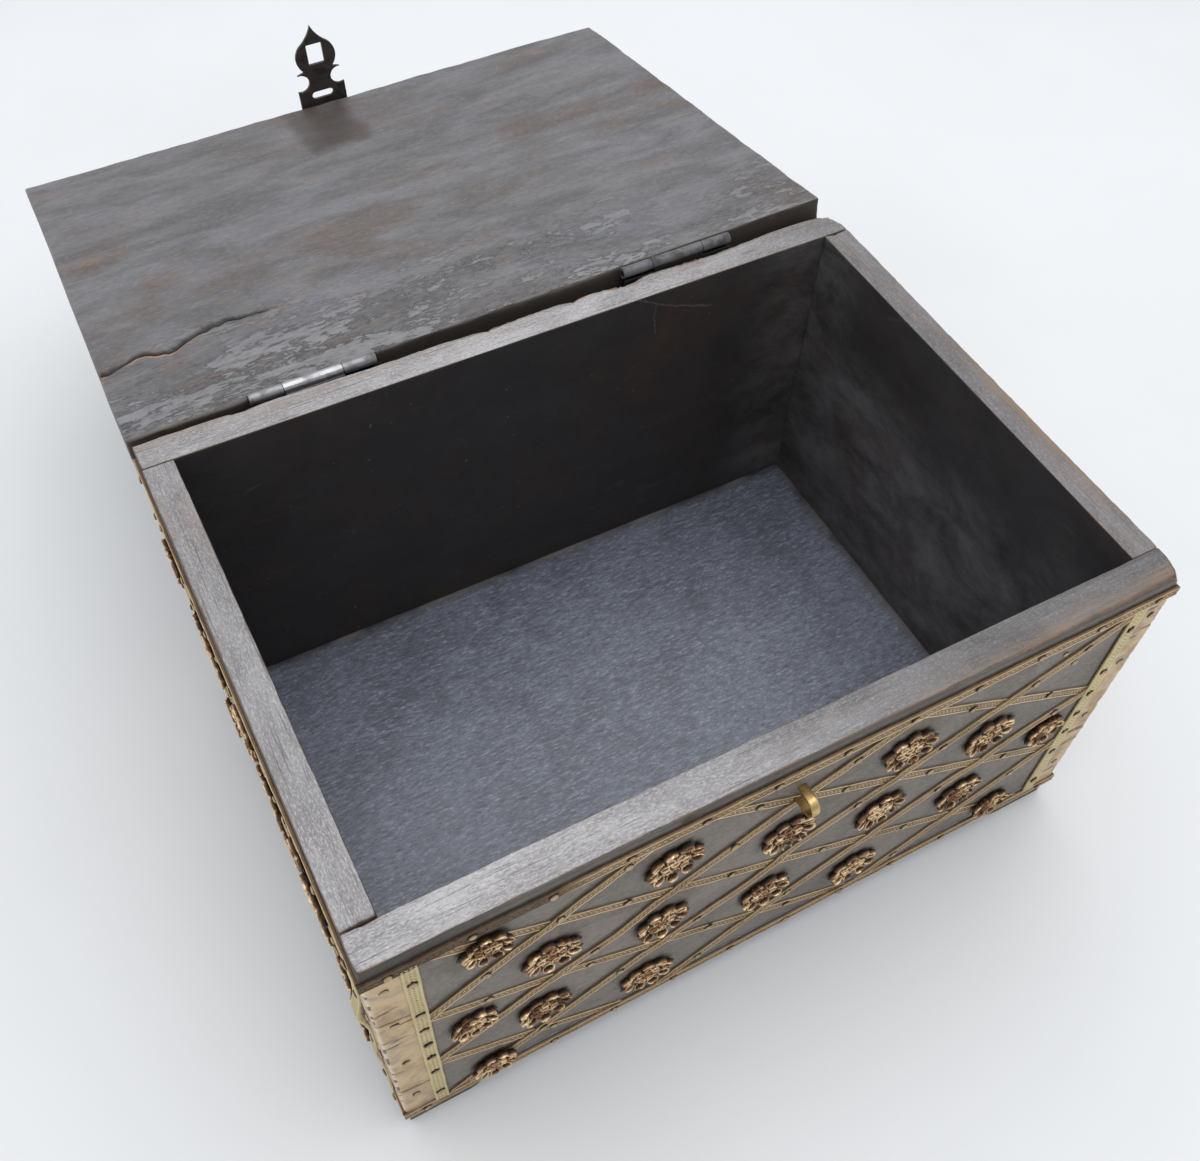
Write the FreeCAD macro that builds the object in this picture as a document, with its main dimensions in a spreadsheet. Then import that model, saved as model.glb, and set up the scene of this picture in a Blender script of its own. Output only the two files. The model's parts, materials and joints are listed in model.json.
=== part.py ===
import FreeCAD, Part
import Sketcher
import math
import os

# Damchiya chest: a small nailed wooden box with a heavy lid that stands open, sheet brass
# strips and rosettes on its front and sides, two iron hinges and a slotted hasp.
# Millimetres. X runs along the front from left to right, Y to the back, Z up.
# The origin is on the ground, under the middle of the box.
# The lid and the hasp are drawn shut, square to the box, and then turned to where they rest.

Vec = FreeCAD.Vector
UP = Vec(0, 0, 1)
ACROSS = Vec(1, 0, 0)
OUTWARD = Vec(0, -1, 0)

SIZES = (
    ("box_length", 350, "length of the box"),
    ("box_depth", 250, "depth of the box"),
    ("wall_height", 175, "rim to the underside of the bottom board"),
    ("front_thickness", 15, "front board"),
    ("back_thickness", 14.5, "back board"),
    ("side_thickness", 13.5, "side boards"),
    ("bottom_thickness", 8, "bottom board"),
    ("rim_round", 1.2, "worn round along the outer edges of the rim"),
    ("chip_size", 8, "splinter lost at the back right corner of the rim"),
    ("chip_drop", 9, "how far down that splinter goes"),
    ("foot_height", 13, "height of a foot"),
    ("foot_reach", 35, "side of a foot along the box and across it"),
    ("foot_round", 8, "rounding of a foot's inner ends"),
    ("foot_inset", 1, "a foot's outer faces inside the box's faces"),
    ("lid_length", 348, "length of the lid"),
    ("lid_shift", 3, "how far left of the middle the lid sits"),
    ("lid_overhang", 4, "lid past the front board"),
    ("lid_thickness", 22, "lid board"),
    ("lid_gap", 0.3, "gap over the rim, and from the lid's back to the box's back"),
    ("lid_round", 1.2, "worn round along the lid's edges"),
    ("open_angle", 190, "turn from shut to the open stop"),
    ("hinge_standoff", 4, "hinge line behind the box's back"),
    ("hinge_rise", 0.6, "hinge line above the rim at the middle"),
    ("hinge_tilt", 0.8, "degrees that the hinge line climbs to the right"),
    ("hinge_yaw", 0.4, "degrees that the hinge line comes forward to the right"),
    ("left_hinge_inset", 81, "middle of the left hinge from the box's left face"),
    ("right_hinge_inset", 87, "middle of the right hinge from the box's right face"),
    ("hinge_length", 58, "length of a hinge"),
    ("middle_knuckle", 27, "length of the knuckle of the box leaf"),
    ("knuckle_radius", 2.6, "outer radius of the hinge knuckles"),
    ("knuckle_gap", 0.3, "end gap between knuckles"),
    ("pin_radius", 1.4, "hinge pins"),
    ("pin_clearance", 0.05, "running clearance round a pin"),
    ("leaf_thickness", 1.2, "hinge leaves"),
    ("leaf_height", 14, "hinge leaves from the hinge line"),
    ("leaf_seat", 0.25, "least gap from a leaf to the wood, because the hinges are askew"),
    ("leaf_clearance", 0.4, "leaf round the other leaf's knuckle"),
    ("sheet", 0.5, "thickness of the sheet brass"),
    ("strip_width", 5.2, "lattice strips"),
    ("border_width", 5.5, "top and bottom strips"),
    ("top_strip_drop", 8.2, "bare wood above the top strip"),
    ("edge_strip_width", 6.3, "upright strips"),
    ("edge_strip_inset", 13.1, "upright strips from the corner"),
    ("plate_reach", 15.5, "corner plates round each face"),
    ("tuck", 2, "lattice ends under the border strips"),
    ("lattice_margin", 1.5, "lattice corners inside the upright strips"),
    ("rosette_radius", 12.8, "rosettes"),
    ("small_rosette_radius", 10.5, "rosettes cramped at the corners and edges"),
    ("rosette_height", 4.2, "rosettes"),
    ("tack_radius", 1.9, "brass tack heads"),
    ("tack_height", 0.9, "brass tack heads"),
    ("tack_inset", 9, "first tack of a border strip from the corner"),
    ("staple_across", 173, "staple from the box's left face"),
    ("staple_drop", 28.6, "middle of the staple below the rim"),
    ("staple_height", 10, "staple, outside its legs"),
    ("staple_width", 5, "width of the staple's strip"),
    ("staple_thickness", 1.1, "thickness of the staple's strip"),
    ("staple_reach", 11, "staple out of the front board"),
    ("staple_depth", 12, "staple's legs in the front board"),
    ("hasp_standoff", 5, "hasp's hinge line before the lid's front edge"),
    ("hasp_rise", 6, "hasp's hinge line above the lid's underside"),
    ("hasp_lean", 8, "degrees that the hasp leans in at its stop"),
    ("hasp_thickness", 1.6, "hasp plate"),
    ("hasp_length", 52, "hasp from its hinge line to the tip"),
    ("hasp_plate_half", 13.9, "half width of the hasp's lower plate"),
    ("hasp_plate_top", 14.5, "top of that plate from the hinge line"),
    ("hasp_neck_half", 6.5, "half width of the neck"),
    ("hasp_neck_at", 18.8, "neck from the hinge line"),
    ("hasp_spur_half", 13.6, "half width over the spurs"),
    ("hasp_spur_at", 24, "spur tips from the hinge line"),
    ("hasp_shoulder_half", 8.3, "half width where the lobes start and end"),
    ("hasp_shoulder_at", 25.6, "start of the lobes from the hinge line"),
    ("hasp_lobe_half", 11.7, "half width over the lobes"),
    ("hasp_lobe_at", 33.5, "widest place of the lobes"),
    ("hasp_flank_at", 41, "end of the lobes from the hinge line"),
    ("hasp_hole_width", 9.2, "square hole"),
    ("hasp_hole_from", 29.1, "near end of the hole from the hinge line"),
    ("hasp_hole_to", 41.1, "far end of the hole from the hinge line"),
    ("hasp_slot_width", 12.8, "slot in the lower plate"),
    ("hasp_slot_height", 4.4, "slot in the lower plate"),
    ("hasp_slot_at", 10.2, "slot's middle from the hinge line"),
    ("hasp_knuckle", 12.8, "length of the hasp's own knuckle"),
    ("hasp_knuckle_radius", 2.5, "outer radius of its knuckles"),
    ("hasp_pin_radius", 1.2, "hasp's pin"),
    ("strap_width", 26, "strap over the lid's front edge"),
    ("strap_back", 46, "strap on the lid's top from its front edge"),
    ("strap_thickness", 1.2, "strap"),
    ("iron_tack_radius", 2.2, "iron tack heads on the strap"),
    ("leaf_tack_radius", 1.9, "iron tack heads on the hinge leaves"),
    ("leaf_tack_height", 0.9, "iron tack heads on the hinge leaves"),
    ("nail_radius", 1, "hidden nails"),
    ("nail_head_radius", 2.2, "their heads"),
    ("nail_head", 0.8, "thickness of their heads"),
    ("corner_nail", 38, "length of the nails through the front and back boards"),
    ("bottom_nail", 30, "length of the nails through the bottom board"),
    ("foot_nail", 19, "length of the nails through the feet"),
)

# Places of the front lattice, as column and row shares: a column is a sixth of the lattice's
# width, counted from its left side, and a row is a sixth of its height, counted down.
ROWS = 6
FRONT_COLUMNS = 6
SIDE_COLUMNS = 4
FRONT_FALLING_SHARES = (
    ((4.0, 0.1), (6.0, 2.3)),
    ((2.0, -0.15), (6.0, 4.18)),
    ((0.0, 0.05), (6.0, 6.05)),
    ((0.0, 2.3), (1.3, 3.35), (3.95, 6.0)),
    ((0.0, 4.35), (1.6, 6.0)),
)
FRONT_RISING_SHARES = (
    ((0.0, 2.1), (1.75, 0.0)),
    ((0.0, 4.1), (0.9, 3.12), (1.5, 2.62), (1.85, 2.1), (2.9, 1.0), (4.0, 0.0)),
    ((0.0, 6.0), (1.7, 4.15), (2.72, 3.3), (3.1, 2.72), (4.05, 1.93), (6.0, 0.25)),
    ((1.95, 6.0), (2.9, 4.93), (4.75, 3.27), (5.02, 3.12), (5.28, 2.85), (6.0, 2.38)),
    ((4.05, 6.0), (6.0, 4.05)),
)
SIDE_FALLING_SHARES = (
    ((2.0, 0.0), (4.0, 2.1)),
    ((0.0, 0.0), (4.0, 4.05)),
    ((0.0, 2.05), (4.0, 6.0)),
    ((0.0, 4.1), (2.0, 6.0)),
)
SIDE_RISING_SHARES = (
    ((0.0, 2.05), (2.0, 0.0)),
    ((0.0, 4.0), (1.05, 2.95), (1.6, 2.5), (4.0, 0.0)),
    ((0.0, 6.0), (2.0, 4.1), (4.0, 2.05)),
    ((2.05, 6.0), (4.0, 4.1)),
)
FRONT_ROSETTE_SHARES = (
    (1.9, 0.9), (3.97, 1.02), (0.92, 2.03), (2.95, 1.93), (4.91, 2.04), (1.87, 2.97), (3.94, 2.93),
    (0.85, 4.1), (2.89, 3.97), (4.93, 4.04), (1.81, 5.05), (3.91, 5.0),
)
SIDE_ROSETTE_SHARES = (
    (2.05, 0.97), (0.95, 2.05), (3.0, 1.95), (2.0, 3.0), (1.02, 4.0), (2.96, 4.05), (1.97, 5.0),
)
# Small rosettes: column, row and how many sheets of brass lie under each.
FRONT_SMALL_ROSETTE_SHARES = (
    (0.27, 3.2, 0), (5.72, 3.12, 0), (0.44, 0.6, 1), (0.39, 5.48, 2), (5.53, 5.47, 1),
)
SIDE_SMALL_ROSETTE_SHARES = (
    (0.27, 3.0, 0), (3.73, 3.02, 0), (0.42, 0.58, 1), (3.6, 0.56, 2), (0.4, 5.46, 2), (3.6, 5.45, 1),
)
FRONT_FALLING_TACK_SHARES = (
    (4.55, 0.75), (5.5, 1.72), (2.6, 0.5), (3.45, 1.42), (4.4, 2.45), (5.35, 3.47), (1.55, 1.57),
    (2.5, 2.55), (3.45, 3.5), (4.42, 4.47), (0.42, 2.62), (1.27, 3.33), (2.4, 4.42), (3.25, 5.3),
    (0.95, 5.33),
)
FRONT_RISING_TACK_SHARES = (
    (1.52, 0.28), (1.0, 0.9), (0.42, 1.6), (0.45, 3.6), (1.3, 2.8), (2.45, 1.44), (3.45, 0.5),
    (2.25, 3.7), (3.65, 2.25), (4.4, 1.63), (5.2, 0.94), (5.65, 0.55), (0.85, 5.08), (1.55, 4.3),
    (3.2, 4.66), (4.62, 3.4), (5.72, 2.55), (2.35, 5.55), (4.45, 5.6), (5.6, 4.45),
)
SIDE_FALLING_TACK_SHARES = (
    (2.5, 0.53), (3.5, 1.6), (1.5, 1.52), (2.5, 2.53), (3.5, 3.55), (0.5, 2.54), (1.5, 3.53),
    (2.5, 4.52), (0.5, 4.57), (1.5, 5.52),
)
SIDE_RISING_TACK_SHARES = (
    (1.5, 0.52), (0.5, 1.54), (0.5, 3.5), (2.5, 1.56), (1.5, 4.58), (2.5, 3.6), (3.5, 2.56),
    (2.5, 5.58), (3.5, 4.58),
)
# Loose tacks left where the upper right rosette of the front has come off.
LOOSE_TACK_SHARES = ((5.4, 0.43), (5.6, 0.92))
BORDER_TACKS = 12
SIDE_BORDER_TACKS = 9
EDGE_TACK_SHARES = (0.1, 0.3, 0.41, 0.52, 0.62, 0.74, 0.92)
PLATE_TACK_SHARES = (0.08, 0.3, 0.58, 0.86)

PETALS = 9
LOOPS = 7
PETAL_RING_SHARE = 0.78
PETAL_SHARE = 0.24
PETAL_HEIGHT_SHARE = 0.62
PETAL_HOLE_SHARE = 0.11
CUP_SHARE = 0.74
CUP_HEIGHT_SHARE = 0.35
LOOP_RING_SHARE = 0.36
LOOP_SHARE = 0.17
LOOP_HOLE_SHARE = 0.08
EYE_SHARE = 0.14

CORNER_NAIL_SHARES = (0.15, 0.5, 0.85)
BOTTOM_NAIL_SHARES = (0.18, 0.4, 0.6, 0.82)
SIDE_BOTTOM_NAIL_SHARES = (0.3, 0.5, 0.7)
FOOT_NAIL_SHARES = ((0.62, 0.7), (0.7, 0.62))
HINGE_TACK_SHARES = (-0.38, -0.13, 0.13, 0.38)
LEAF_TACK_SHARE = 0.62
STRAP_TACK_SHARES = ((-0.28, 0.3), (0.28, 0.3), (0, 0.75))

doc = FreeCAD.newDocument("DamchiyaChest")
sheet = doc.addObject("Spreadsheet::Sheet", "Sizes")
for line, (alias, number, meaning) in enumerate(SIZES, start=1):
    sheet.set("A%d" % line, meaning)
    sheet.set("B%d" % line, str(number))
    sheet.setAlias("B%d" % line, alias)
doc.recompute()

NODES = {}


def size(alias):
    """The number in the sheet's cell of this name."""
    return float(getattr(sheet, alias))


def keep(name, piece):
    """Make a document object one of the chest's pieces."""
    piece.Label = name
    NODES[name] = piece
    return piece


def bind(piece, **expressions):
    """Bind properties to expressions in the sheet's cells: x, y and z are the placement's."""
    places = {"x": "Placement.Base.x", "y": "Placement.Base.y", "z": "Placement.Base.z"}
    for prop, words in expressions.items():
        piece.setExpression(places.get(prop, prop), cells(words))


def cells(words):
    """Put the sheet's name before each of its aliases in an expression."""
    out = []
    word = ""
    for letter in words + " ":
        if letter.isalnum() or letter in "_.":
            word += letter
        else:
            out.append("Sizes." + word if word in ALIASES else word)
            out.append(letter)
            word = ""
    return "".join(out).strip()


ALIASES = {alias for alias, number, meaning in SIZES}
BASE = "(foot_height + bottom_thickness)"
RIM = "(foot_height + wall_height)"


def base_z():
    """Height of the walls' lower edges."""
    return size("foot_height") + size("bottom_thickness")


def rim_z():
    """Height of the rim."""
    return size("foot_height") + size("wall_height")


def ruled_plane(body, role):
    """One of the body's own origin planes."""
    for feature in body.Origin.OriginFeatures:
        if feature.Role == role:
            return feature
    raise ValueError("no plane " + role)


def sketch_on(body, name, role):
    """A new sketch on one of the body's origin planes."""
    sketch = body.newObject("Sketcher::SketchObject", name)
    sketch.AttachmentSupport = [(ruled_plane(body, role), "")]
    sketch.MapMode = "FlatFace"
    return sketch


def add_rectangle(sketch, width, height):
    """A rectangle from the sketch's origin, its sides bound to two expressions."""
    corners = [Vec(0, 0, 0), Vec(1, 0, 0), Vec(1, 1, 0), Vec(0, 1, 0)]
    for k in range(4):
        sketch.addGeometry(Part.LineSegment(corners[k], corners[(k + 1) % 4]), False)
    for k in range(4):
        sketch.addConstraint(Sketcher.Constraint("Coincident", k, 2, (k + 1) % 4, 1))
    for k in (0, 2):
        sketch.addConstraint(Sketcher.Constraint("Horizontal", k))
        sketch.addConstraint(Sketcher.Constraint("Vertical", k + 1))
    sketch.addConstraint(Sketcher.Constraint("Coincident", 0, 1, -1, 1))
    for geometry, kind, name, words in ((0, "DistanceX", "across", width), (1, "DistanceY", "along", height)):
        number = sketch.addConstraint(Sketcher.Constraint(kind, geometry, 1, geometry, 2, 1.0))
        sketch.renameConstraint(number, name)
        sketch.setExpression("Constraints." + name, cells(words))


def board(name, length, depth, height, x, y, z):
    """A board: a rectangle padded up, placed by its lowest corner."""
    body = doc.addObject("PartDesign::Body", name)
    sketch = sketch_on(body, name + "_outline", "XY_Plane")
    add_rectangle(sketch, length, depth)
    pad = body.newObject("PartDesign::Pad", name + "_pad")
    pad.Profile = sketch
    bind(pad, Length=height)
    body.Tip = pad
    bind(body, x=x, y=y, z=z)
    doc.recompute()
    return body


def round_edges(body, alias, wanted):
    """Fillet the edges of a body whose middle the test accepts, in the body's own frame."""
    base = body.Tip
    names = []
    for k, edge in enumerate(base.Shape.Edges, start=1):
        middle = edge.valueAt((edge.FirstParameter + edge.LastParameter) / 2)
        if wanted(middle, base.Shape.BoundBox):
            names.append("Edge%d" % k)
    fillet = body.newObject("PartDesign::Fillet", body.Name + "_" + alias)
    fillet.Base = (base, names)
    bind(fillet, Radius=alias)
    body.Tip = fillet
    doc.recompute()


def near(a, b):
    """Whether two places are the same."""
    return abs(a - b) < size("sheet") / 100


def feature(name, shape, placement=None):
    """A piece from a worked-out shape, placed after its shape is set."""
    piece = doc.addObject("Part::Feature", name)
    piece.Shape = shape
    if placement is not None:
        piece.Placement = placement
    return piece


def cut(name, base, tool):
    """One piece cut by another."""
    piece = doc.addObject("Part::Cut", name)
    piece.Base = base
    piece.Tool = tool
    return piece


def block(name, length, depth, height, x, y, z):
    """A plain block whose sizes and place are bound to expressions."""
    piece = doc.addObject("Part::Box", name)
    bind(piece, Length=length, Width=depth, Height=height, x=x, y=y, z=z)
    return piece


def nail(head, along, length):
    """A nail from the middle of its head's face, with its shank along a direction."""
    shank = Part.makeCylinder(size("nail_radius"), length, head, along)
    return shank.fuse(Part.makeCylinder(size("nail_head_radius"), size("nail_head"), head, along))


def corner_nails():
    """Three nails through each end of the front and back boards into the side boards."""
    across = (size("box_length") - size("side_thickness")) / 2
    nails = []
    for side in (-1, 1):
        for face in (-1, 1):
            for share in CORNER_NAIL_SHARES:
                height = base_z() + share * (rim_z() - base_z())
                head = Vec(side * across, face * size("box_depth") / 2, height)
                nails.append(nail(head, Vec(0, -face, 0), size("corner_nail")))
    return Part.makeCompound(nails)


def bottom_nails():
    """Nails up through the bottom board into the walls."""
    nails = []
    for share in BOTTOM_NAIL_SHARES:
        x = (share - 1 / 2) * size("box_length")
        front = -(size("box_depth") - size("front_thickness")) / 2
        back = (size("box_depth") - size("back_thickness")) / 2
        for y in (front, back):
            nails.append(nail(Vec(x, y, size("foot_height")), UP, size("bottom_nail")))
    for share in SIDE_BOTTOM_NAIL_SHARES:
        y = (share - 1 / 2) * size("box_depth")
        for side in (-1, 1):
            x = side * (size("box_length") - size("side_thickness")) / 2
            nails.append(nail(Vec(x, y, size("foot_height")), UP, size("bottom_nail")))
    return Part.makeCompound(nails)


def foot_nails():
    """Two nails up through each foot into the bottom board."""
    nails = []
    for side in (-1, 1):
        for face in (-1, 1):
            for along, across in FOOT_NAIL_SHARES:
                x = size("box_length") / 2 - size("foot_inset") - along * size("foot_reach")
                y = size("box_depth") / 2 - size("foot_inset") - across * size("foot_reach")
                start = Vec(side * x, face * y, 0)
                nails.append(nail(start, UP, size("foot_nail")))
    return Part.makeCompound(nails)


def build_hidden_nails():
    """The nails inside the wood, each kind one group."""
    return [
        keep("corner_nails", feature("corner_nails", corner_nails())),
        keep("bottom_nails", feature("bottom_nails", bottom_nails())),
        keep("foot_nails", feature("foot_nails", foot_nails())),
    ]


def staple_frame():
    """The staple's frame: its middle on the front board's face."""
    x = size("staple_across") - size("box_length") / 2
    return FreeCAD.Placement(Vec(x, -size("box_depth") / 2, rim_z() - size("staple_drop")), FreeCAD.Rotation())


def loop_face(half_height, reach, depth, half_width):
    """A face shaped like an arch that lies on its side, in the plane across the staple."""
    bend = reach - half_height
    low = Vec(-half_width, depth, -half_height)
    low_bend = Vec(-half_width, -bend, -half_height)
    tip = Vec(-half_width, -reach, 0)
    high_bend = Vec(-half_width, -bend, half_height)
    high = Vec(-half_width, depth, half_height)
    edges = [
        Part.LineSegment(low, low_bend).toShape(),
        Part.Arc(low_bend, tip, high_bend).toShape(),
        Part.LineSegment(high_bend, high).toShape(),
        Part.LineSegment(high, low).toShape(),
    ]
    return Part.Face(Part.Wire(edges))


def build_staple():
    """A strip bent to a loop, its two legs driven into the front board."""
    half = size("staple_height") / 2
    thick = size("staple_thickness")
    half_width = size("staple_width") / 2
    across = Vec(size("staple_width"), 0, 0)
    outer = loop_face(half, size("staple_reach"), size("staple_depth"), half_width).extrude(across)
    inner = loop_face(half - thick, size("staple_reach") - thick, 2 * size("staple_depth"), half_width)
    loop = outer.cut(inner.extrude(across))
    return keep("staple", feature("staple", loop, staple_frame()))


def build_boards(nails, staple):
    """The five boards of the box, with holes where nails and the staple pass."""
    tools = Part.makeCompound([piece.Shape for piece in nails] + [staple.Shape])
    holes = feature("nail_holes", tools)
    walls = "wall_height - bottom_thickness"
    front = board("front_blank", "box_length", "front_thickness", walls, "-box_length / 2", "-box_depth / 2", BASE)
    round_edges(front, "rim_round", lambda m, box: near(m.z, box.ZMax) and near(m.y, box.YMin))
    back = board(
        "back_blank", "box_length", "back_thickness", walls,
        "-box_length / 2", "box_depth / 2 - back_thickness", BASE,
    )
    chip = block(
        "rim_chip", "chip_size * 2", "chip_size * 2", "chip_drop * 2",
        "box_length / 2", "box_depth / 2 - chip_size", RIM + " - chip_drop",
    )
    chip.Placement.Rotation = FreeCAD.Rotation(UP, 45)
    chipped = cut("back_chipped", back, chip)
    inner = "box_depth - front_thickness - back_thickness"
    row = "-box_depth / 2 + front_thickness"
    left = board("left_blank", "side_thickness", inner, walls, "-box_length / 2", row, BASE)
    round_edges(left, "rim_round", lambda m, box: near(m.z, box.ZMax) and near(m.x, box.XMin))
    right = board("right_blank", "side_thickness", inner, walls, "box_length / 2 - side_thickness", row, BASE)
    round_edges(right, "rim_round", lambda m, box: near(m.z, box.ZMax) and near(m.x, box.XMax))
    bottom = board(
        "bottom_blank", "box_length", "box_depth", "bottom_thickness",
        "-box_length / 2", "-box_depth / 2", "foot_height",
    )
    blanks = {"front": front, "back": chipped, "left": left, "right": right, "bottom": bottom}
    for name, blank in blanks.items():
        keep(name + "_board", cut(name + "_board", blank, holes))
    return holes


def build_feet(holes):
    """Four low pads, rounded at their inner ends."""
    for face_name, face in (("front", -1), ("back", 1)):
        for side_name, side in (("left", -1), ("right", 1)):
            name = "foot_%s_%s" % (face_name, side_name)
            x = "-box_length / 2 + foot_inset" if side < 0 else "box_length / 2 - foot_inset - foot_reach"
            y = "-box_depth / 2 + foot_inset" if face < 0 else "box_depth / 2 - foot_inset - foot_reach"
            body = board(name + "_blank", "foot_reach", "foot_reach", "foot_height", x, y, "0")

            def inner_end(m, box, side=side, face=face):
                on_x = near(m.x, box.XMax if side < 0 else box.XMin)
                on_y = near(m.y, box.YMax if face < 0 else box.YMin)
                return (on_x and on_y) or (near(m.z, box.ZMin) and (on_x or on_y))

            round_edges(body, "foot_round", inner_end)
            keep(name, cut(name, body, holes))


def build_corner_plates():
    """Sheet brass round each upright corner: a square post of sheet less the wood inside it."""
    height = "wall_height - top_strip_drop - border_width / 2"
    for face_name, face in (("front", -1), ("back", 1)):
        for side_name, side in (("left", -1), ("right", 1)):
            name = "corner_plate_%s_%s" % (face_name, side_name)
            x = "-box_length / 2 - sheet" if side < 0 else "box_length / 2 - plate_reach"
            y = "-box_depth / 2 - sheet" if face < 0 else "box_depth / 2 - plate_reach"
            post = block(name + "_post", "plate_reach + sheet", "plate_reach + sheet", height, x, y, "foot_height")
            wood = block(
                name + "_wood", "box_length", "box_depth", "wall_height + foot_height",
                "-box_length / 2", "-box_depth / 2", "0",
            )
            keep(name, cut(name, post, wood))


# The two upright strips of each face, the first on the left as one looks at that face.
EDGE_NAMES = {
    "front": ("left_edge_strip", "right_edge_strip"),
    "left": ("back_edge_strip", "front_edge_strip"),
    "right": ("front_edge_strip", "back_edge_strip"),
}


def face_frames():
    """Each decorated face: its name, its frame, its length and its lattice's columns."""
    length, depth = size("box_length"), size("box_depth")
    return (
        ("front", FreeCAD.Placement(Vec(0, -depth / 2, 0), FreeCAD.Rotation(UP, 0)), length, FRONT_COLUMNS),
        ("left", FreeCAD.Placement(Vec(-length / 2, 0, 0), FreeCAD.Rotation(UP, -90)), depth, SIDE_COLUMNS),
        ("right", FreeCAD.Placement(Vec(length / 2, 0, 0), FreeCAD.Rotation(UP, 90)), depth, SIDE_COLUMNS),
    )


def lattice_place(share, face_length, columns):
    """A lattice place in millimetres on the face: across from its middle, and up."""
    half = face_length / 2 - size("edge_strip_inset") - size("edge_strip_width") - size("lattice_margin")
    top = rim_z() - size("top_strip_drop") - size("border_width") / 2
    bottom = size("foot_height") + size("border_width") / 2
    return Vec(half * (2 * share[0] / columns - 1), 0, top + (bottom - top) * share[1] / ROWS)


def strip_outline(points, width):
    """A band of steady width along a bent line, with its ends drawn out by its width."""
    first = points[0] + (points[0] - points[1]).normalize() * 2 * width
    last = points[-1] + (points[-1] - points[-2]).normalize() * 2 * width
    path = [first] + list(points[1:-1]) + [last]
    upper, lower = [], []
    for k, point in enumerate(path):
        before = (point - path[k - 1]).normalize() if k else None
        after = (path[k + 1] - point).normalize() if k + 1 < len(path) else None
        along = (before or after) + (after or before)
        along.normalize()
        side = Vec(-along.z, 0, along.x)
        lean = along.dot(before or after)
        upper.append(point + side * (width / 2 / lean))
        lower.append(point - side * (width / 2 / lean))
    corners = upper + lower[::-1]
    return Part.Face(Part.makePolygon(corners + corners[:1]))


def lattice_strips(shares, face_length, columns, thickness):
    """The strips of one direction, cut off a little under the border strips."""
    half = face_length / 2 - size("edge_strip_inset") - size("edge_strip_width") + size("tuck")
    top = rim_z() - size("top_strip_drop") - size("border_width") + size("tuck")
    bottom = size("foot_height") + size("border_width") - size("tuck")
    field = Part.makeBox(2 * half, thickness, top - bottom, Vec(-half, -thickness, bottom))
    solids = []
    for line in shares:
        points = [lattice_place(share, face_length, columns) for share in line]
        band = strip_outline(points, size("strip_width")).extrude(OUTWARD * thickness)
        solids.extend(band.common(field).Solids)
    return solids


def border_strip(name, frame, face_length, z):
    """A strip right across a face, over the lattice ends and the corner plates."""
    strip = doc.addObject("Part::Box", name)
    lap = 3 * size("sheet")
    bind(strip, Length="%s + 6 * sheet" % face_length, Width="3 * sheet", Height="border_width")
    length = size(face_length) + 2 * lap
    strip.Placement = frame.multiply(FreeCAD.Placement(Vec(-length / 2, -lap, z), FreeCAD.Rotation()))
    return strip


def edge_strip(name, frame, side, face_length):
    """An upright strip beside a corner plate, between the two border strips."""
    strip = doc.addObject("Part::Box", name)
    lap = 3 * size("sheet")
    bind(
        strip, Length="edge_strip_width", Width="3 * sheet",
        Height="wall_height - top_strip_drop - 2 * border_width",
    )
    inset = face_length / 2 - size("edge_strip_inset")
    left = -inset if side < 0 else inset - size("edge_strip_width")
    place = Vec(left, -lap, size("foot_height") + size("border_width"))
    strip.Placement = frame.multiply(FreeCAD.Placement(place, FreeCAD.Rotation()))
    return strip


def build_strips(staple):
    """The strips of each face, each layer cut by what lies under it."""
    plates = [NODES[name].Shape for name in NODES if name.startswith("corner_plate")]
    shares = {
        "front": (FRONT_FALLING_SHARES, FRONT_RISING_SHARES),
        "left": (SIDE_FALLING_SHARES, SIDE_RISING_SHARES),
        "right": (SIDE_FALLING_SHARES, SIDE_RISING_SHARES),
    }
    for name, frame, length, columns in face_frames():
        falling_shares, rising_shares = shares[name]
        falling = Part.makeCompound(lattice_strips(falling_shares, length, columns, size("sheet")))
        rising = Part.makeCompound(lattice_strips(rising_shares, length, columns, 2 * size("sheet")))
        falling_blank = feature(name + "_falling_blank", falling, frame)
        rising_blank = feature(name + "_rising_blank", rising, frame)
        falling_strips = falling_blank
        under = falling_blank
        if name == "front":
            falling_strips = cut("front_falling_strips", falling_blank, staple)
            under = feature("front_under_rising", Part.makeCompound([falling_blank.Shape, staple.Shape]))
        keep(name + "_falling_strips", falling_strips)
        keep(name + "_rising_strips", cut(name + "_rising_strips", rising_blank, under))
        lattice = feature(name + "_lattice", Part.makeCompound([falling_blank.Shape, rising_blank.Shape] + plates))
        length_name = "box_length" if name == "front" else "box_depth"
        top_z = rim_z() - size("top_strip_drop") - size("border_width")
        blanks = {
            "top_strip": border_strip(name + "_top_blank", frame, length_name, top_z),
            "bottom_strip": border_strip(name + "_bottom_blank", frame, length_name, size("foot_height")),
            EDGE_NAMES[name][0]: edge_strip(name + "_low_edge_blank", frame, -1, length),
            EDGE_NAMES[name][1]: edge_strip(name + "_high_edge_blank", frame, 1, length),
        }
        if name != "front":
            front_lap = front_laps()
            lattice = feature(name + "_lattice_and_laps", Part.makeCompound([lattice.Shape, front_lap]))
        for piece, blank in blanks.items():
            keep("%s_%s" % (name, piece), cut("%s_%s" % (name, piece), blank, lattice))
    doc.recompute()


def front_laps():
    """The front's border strips with their lapped ends, which the side strips stop against."""
    lap = 3 * size("sheet")
    length = size("box_length") + 2 * lap
    top_z = rim_z() - size("top_strip_drop") - size("border_width")
    strips = []
    for z in (top_z, size("foot_height")):
        corner = Vec(-length / 2, -size("box_depth") / 2 - lap, z)
        strips.append(Part.makeBox(length, lap, size("border_width"), corner))
    return Part.makeCompound(strips)


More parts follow.
